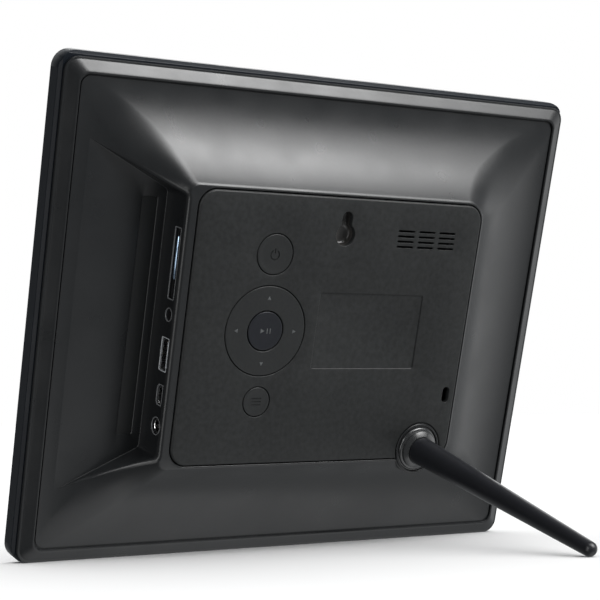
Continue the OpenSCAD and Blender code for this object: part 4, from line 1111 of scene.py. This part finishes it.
TONGUE_LOW = BOARD_Z + 0.3 + 5.1 - 0.6 - 1.8  # under face of the USB socket's tongue
make("usb_contacts", springs(4.5, 9.5, USB_Y, (-3.5, -1.1, 1.1, 3.5), 0.5, TONGUE_LOW - 0.1,
                             TONGUE_LOW + 0.02, -0.12), "frame", "gold")
make("card_contacts", springs(9.0, 17.6, CARD_Y, (-10, -7.5, -5, -2.5, 0, 2.5, 5, 7.5), 0.45,
                              SOCKET_Z - 1.15, SOCKET_Z - 1.03, 0.5), "frame", "gold")
make("audio_jack_contact", in_wall([(1.8, 4.0), (1.66, 4.25), (1.62, 4.6), (1.66, 4.95), (1.8, 5.2),
                                    (1.86, 5.2), (1.86, 4.0)], 40, AUDIO_Y), "frame", "gold")
make("dc_jack_sleeve", in_wall([(2.65, 0.9), (2.5, 1.05), (2.5, 8.6), (2.72, 8.6), (2.72, 0.9)],
                               48, DC_Y), "frame", "pin")


def lips(outlines, width):
    """Thin rims round the mouths in the side wall; their pale colours are painted highlights along the
    mouths' edges.
    """
    parts = []
    for outline in outlines:
        s = Shell()
        ids = s.loft([[(WALL_X + x, y, z) for y, z in outline(g)] for g, x in (
            (width + 0.06, 0.4), (width, 0.0), (width - 0.05, -0.04), (0.06, -0.04), (0.0, 0.03),
            (0.0, 0.4))])
        s.strip(ids[-1], ids[0])
        parts.append(s)
    return joined(*parts)


# pale rims in the card, audio, mini USB and DC mouths: painted highlights along their edges
make("socket_lips", lips([lambda g, at=at: at(g - 0.18) for name, at in PORTS.items() if name != "usb"],
                         0.38), "frame", "lip")
# the USB mouth's pale rim and the pale bar inside it: painted highlights
make("usb_rim", joined(lips([rect(6.5, 2.8, 0.3, USB_Y, SOCKET_Z, 4, (2, 1))], 0.3),
                       box(WALL_X + 0.7, WALL_X + 1.2, USB_Y - 5.3, USB_Y + 5.3, TONGUE_LOW + 0.9,
                           TONGUE_LOW + 1.5)), "frame", "rim")
inlay = Shell()
strip = rect(3.32, 47.9, 0.45, *STRIP, 4, (2, 12))
for ring in inlay.loft([at_z(strip(), FLOOR - d) for d in (0.3, 0.2)]):
    inlay.cap(ring)
make("port_strip", inlay, "frame", "strip")
edge = lathe([(0, -8.7), (0.4, -8.6), (0.7, -8.1), (0.85, 0), (0.7, 8.1), (0.4, 8.6), (0, 8.7)], 24)
make("card_slot_edge", moved(edge, Matrix(((1, 0, 0, WALL_X + 1.3), (0, 0, 1, CARD_Y + 2.2),
                                           (0, 1, 0, SOCKET_Z - 1.0), (0, 0, 0, 1)))),
     "frame", "card_edge", 40)


# ---- CAD nodes that keep their shape

def dress(node, key, bevel):
    """Gives a CAD node its finish and eased edges; its own mesh isn't touched."""
    obj = frame["nodes"][node]
    obj.data.materials.clear()
    obj.data.materials.append(M[key])
    weld = obj.modifiers.new("weld", "WELD")
    weld.merge_threshold = 1e-6
    flat = obj.modifiers.new("flat", "DECIMATE")
    flat.decimate_type = "DISSOLVE"
    flat.angle_limit = radians(1)
    if bevel:
        b = obj.modifiers.new("edges", "BEVEL")
        b.width = bevel * MM
        b.segments = 2
        b.limit_method = "ANGLE"
        b.angle_limit = radians(30)
        b.harden_normals = False
        b.miter_outer = "MITER_ARC"


for (key, width), nodes in {  # finish and edge width in millimetres
    ("bezel", 0.35): "front_bezel", ("window", 0.1): "front_window", ("display", 0.1): "lcd_glass",
    ("tray", 0.2): "lcd_backlight", ("bracket", 0.1): "lcd_brackets", ("flat", 0): "lcd_ribbon",
    ("board", 0.05): "main_board", ("chip", 0.1): "board_chips", ("pin", 0.2): "dc_jack_pin",
    ("switch", 0.1): "key_switches", ("key", 0.1): "dpad_hinge_ring", ("basket", 0.1): "speaker_frame",
    ("cone", 0.05): "speaker_cone", ("magnet", 0.15): "speaker_magnet", ("foam", 0.1): "speaker_gasket",
    ("wire", 0): "speaker_wires", ("brass", 0.1): "stand_insert", ("steel", 0.03): "stand_spring_washer",
    ("steel", 0.1): "stand_washer stand_screw leg_stud",
    ("steel", 0.15): "bracket_screws board_screws plate_screws",
    ("ivory", 0.1): "lcd_connector power_plunger menu_plunger play_plunger dpad_plungers",
    ("socket", 0.05): "mini_usb_tongue", ("socket", 0.08): "card_socket usb_tongue",
    ("socket", 0.1): "audio_jack", ("socket", 0.12): "dc_jack",
    ("shell", 0.06): "mini_usb_socket", ("shell", 0.08): "usb_socket",
}.items():
    for node in nodes.split():
        dress(node, key, width)


# ---- floor, light and camera

LIGHTS = [
    # name, size, radiant power, place
    ("key_box", (1.05, 1.2), 11.5, (-0.58, 0.86, 0.88)),
    ("top_box", (0.6, 0.6), 8.8, (-0.55, 0.80, 1.04)),
    ("back_box", (0.6, 0.6), 6.0, (-0.54, 1.00, 0.82)),
    ("overhead_box", (0.6, 0.6), 4.6, (0.02, 0.56, 1.22)),
    ("left_box", (0.45, 0.45), 4.0, (1.08, 0.62, 0.42)),
    ("side_box", (0.9, 0.9), 2.0, (-1.33, 0.20, -0.03)),
    ("low_left_box", (0.6, 0.6), 2.4, (1.02, 0.42, -0.22)),
    ("low_box", (1.2, 1.2), 3.7, (-0.455, 0.569, -1.04)),
    ("front_box", (1.2, 1.2), 7.0, (-1.0, -1.2, 0.6)),
]
AMBIENT, SKY = (0.03, 0.44), 3.75
FILL_FROM = (-0.78, -0.22, -0.58)
GLOW, GLOW_FROM = 0.42, (-0.12, -0.80, 0.59)
LENS, SHIFT = 103.741, (-0.06996, 0.19450)
EYE, EYE_TURN = (0.39739, 0.57299, 0.05575), (90.0053, 1.1220, 145.9312)


def stage():
    me = bpy.data.meshes.new("floor")
    me.from_pydata([(-30, -30, 0), (30, -30, 0), (30, 30, 0), (-30, 30, 0)], [], [(0, 1, 2, 3)])
    floor = put("floor", me)
    floor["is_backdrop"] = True
    # the room's own fill light reaches the object from below too
    floor.visible_diffuse = floor.visible_glossy = floor.visible_shadow = False
    mat, n, l, p = shader("floor_white", (0.86, 0.86, 0.86), 0.9, specular=0.0)
    soft = noise(n, l, 3, 2.0)
    l.new(tint(n, l, soft, (0.87, 0.87, 0.87), (0.89, 0.89, 0.89)), p.inputs["Base Color"])
    me.materials.append(mat)

    world = bpy.data.worlds.new("studio")
    bpy.context.scene.world = world
    world.use_nodes = True
    n, l = world.node_tree.nodes, world.node_tree.links
    back = preset(n["Background"], {"Color": (0.95, 0.98, 1.0, 1)})
    co = n.new("ShaderNodeTexCoord")

    def facing(way, *levels):
        """A level that grows towards one side of the room."""
        dot = n.new("ShaderNodeVectorMath")
        dot.operation = "DOT_PRODUCT"
        dot.inputs[1].default_value = way
        l.new(co.outputs["Generated"], dot.inputs[0])
        return spread(n, l, dot.outputs["Value"], *levels)
    # the room is brighter below and to the right of the object than on its left, and a faint glow
    # stands in front of the display
    both = n.new("ShaderNodeMath")
    both.operation = "ADD"
    l.new(facing(FILL_FROM, *AMBIENT, -0.7, 0.9), both.inputs[0])
    l.new(facing(GLOW_FROM, 0.0, GLOW, 0.80, 1.0), both.inputs[1])
    l.new(both.outputs["Value"], back.inputs["Strength"])
    plain = preset(n.new("ShaderNodeBackground"), {"Color": (1, 1, 1, 1), "Strength": 1.0})
    path = n.new("ShaderNodeLightPath")
    mix = n.new("ShaderNodeMixShader")
    l.new(path.outputs["Is Camera Ray"], mix.inputs["Fac"])
    l.new(back.outputs["Background"], mix.inputs[1])
    l.new(plain.outputs["Background"], mix.inputs[2])
    l.new(mix.outputs["Shader"], n["World Output"].inputs["Surface"])

    # the softboxes light the object, the sky panel lights the pale floor
    def linked(name, members):
        group = bpy.data.collections.new(name)
        for member in members:
            group.objects.link(member)
        return group
    object_only = linked("lit_by_softboxes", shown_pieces())
    for name, size, power, place in LIGHTS:
        data = bpy.data.lights.new(name, "AREA")
        data.shape = "RECTANGLE"
        data.size, data.size_y = size
        data.energy = power
        lamp = put(name, data)
        lamp.location = place
        lamp.rotation_euler = (Vector((0, 0, 0.1)) - Vector(place)).to_track_quat("-Z", "Y").to_euler()
        lamp.visible_camera = False
        lamp.light_linking.receiver_collection = object_only
    sky = bpy.data.lights.new("sky_panel", "SUN")
    sky.energy = SKY
    sky.angle = radians(120)
    lamp = put("sky_panel", sky)
    lamp.rotation_euler = (radians(-18), radians(-10), 0)
    lamp.light_linking.receiver_collection = linked("lit_by_sky_panel", [floor])

    data = bpy.data.cameras.new("camera")
    cam = put("camera", data)
    bpy.context.scene.camera = cam
    data.sensor_width = 36
    data.lens = LENS
    data.shift_x, data.shift_y = SHIFT
    cam.location = EYE
    cam.rotation_euler = [radians(a) for a in EYE_TURN]
    bpy.context.scene.view_settings.view_transform = "Standard"
    bpy.context.scene.view_settings.look = "None"


stage()
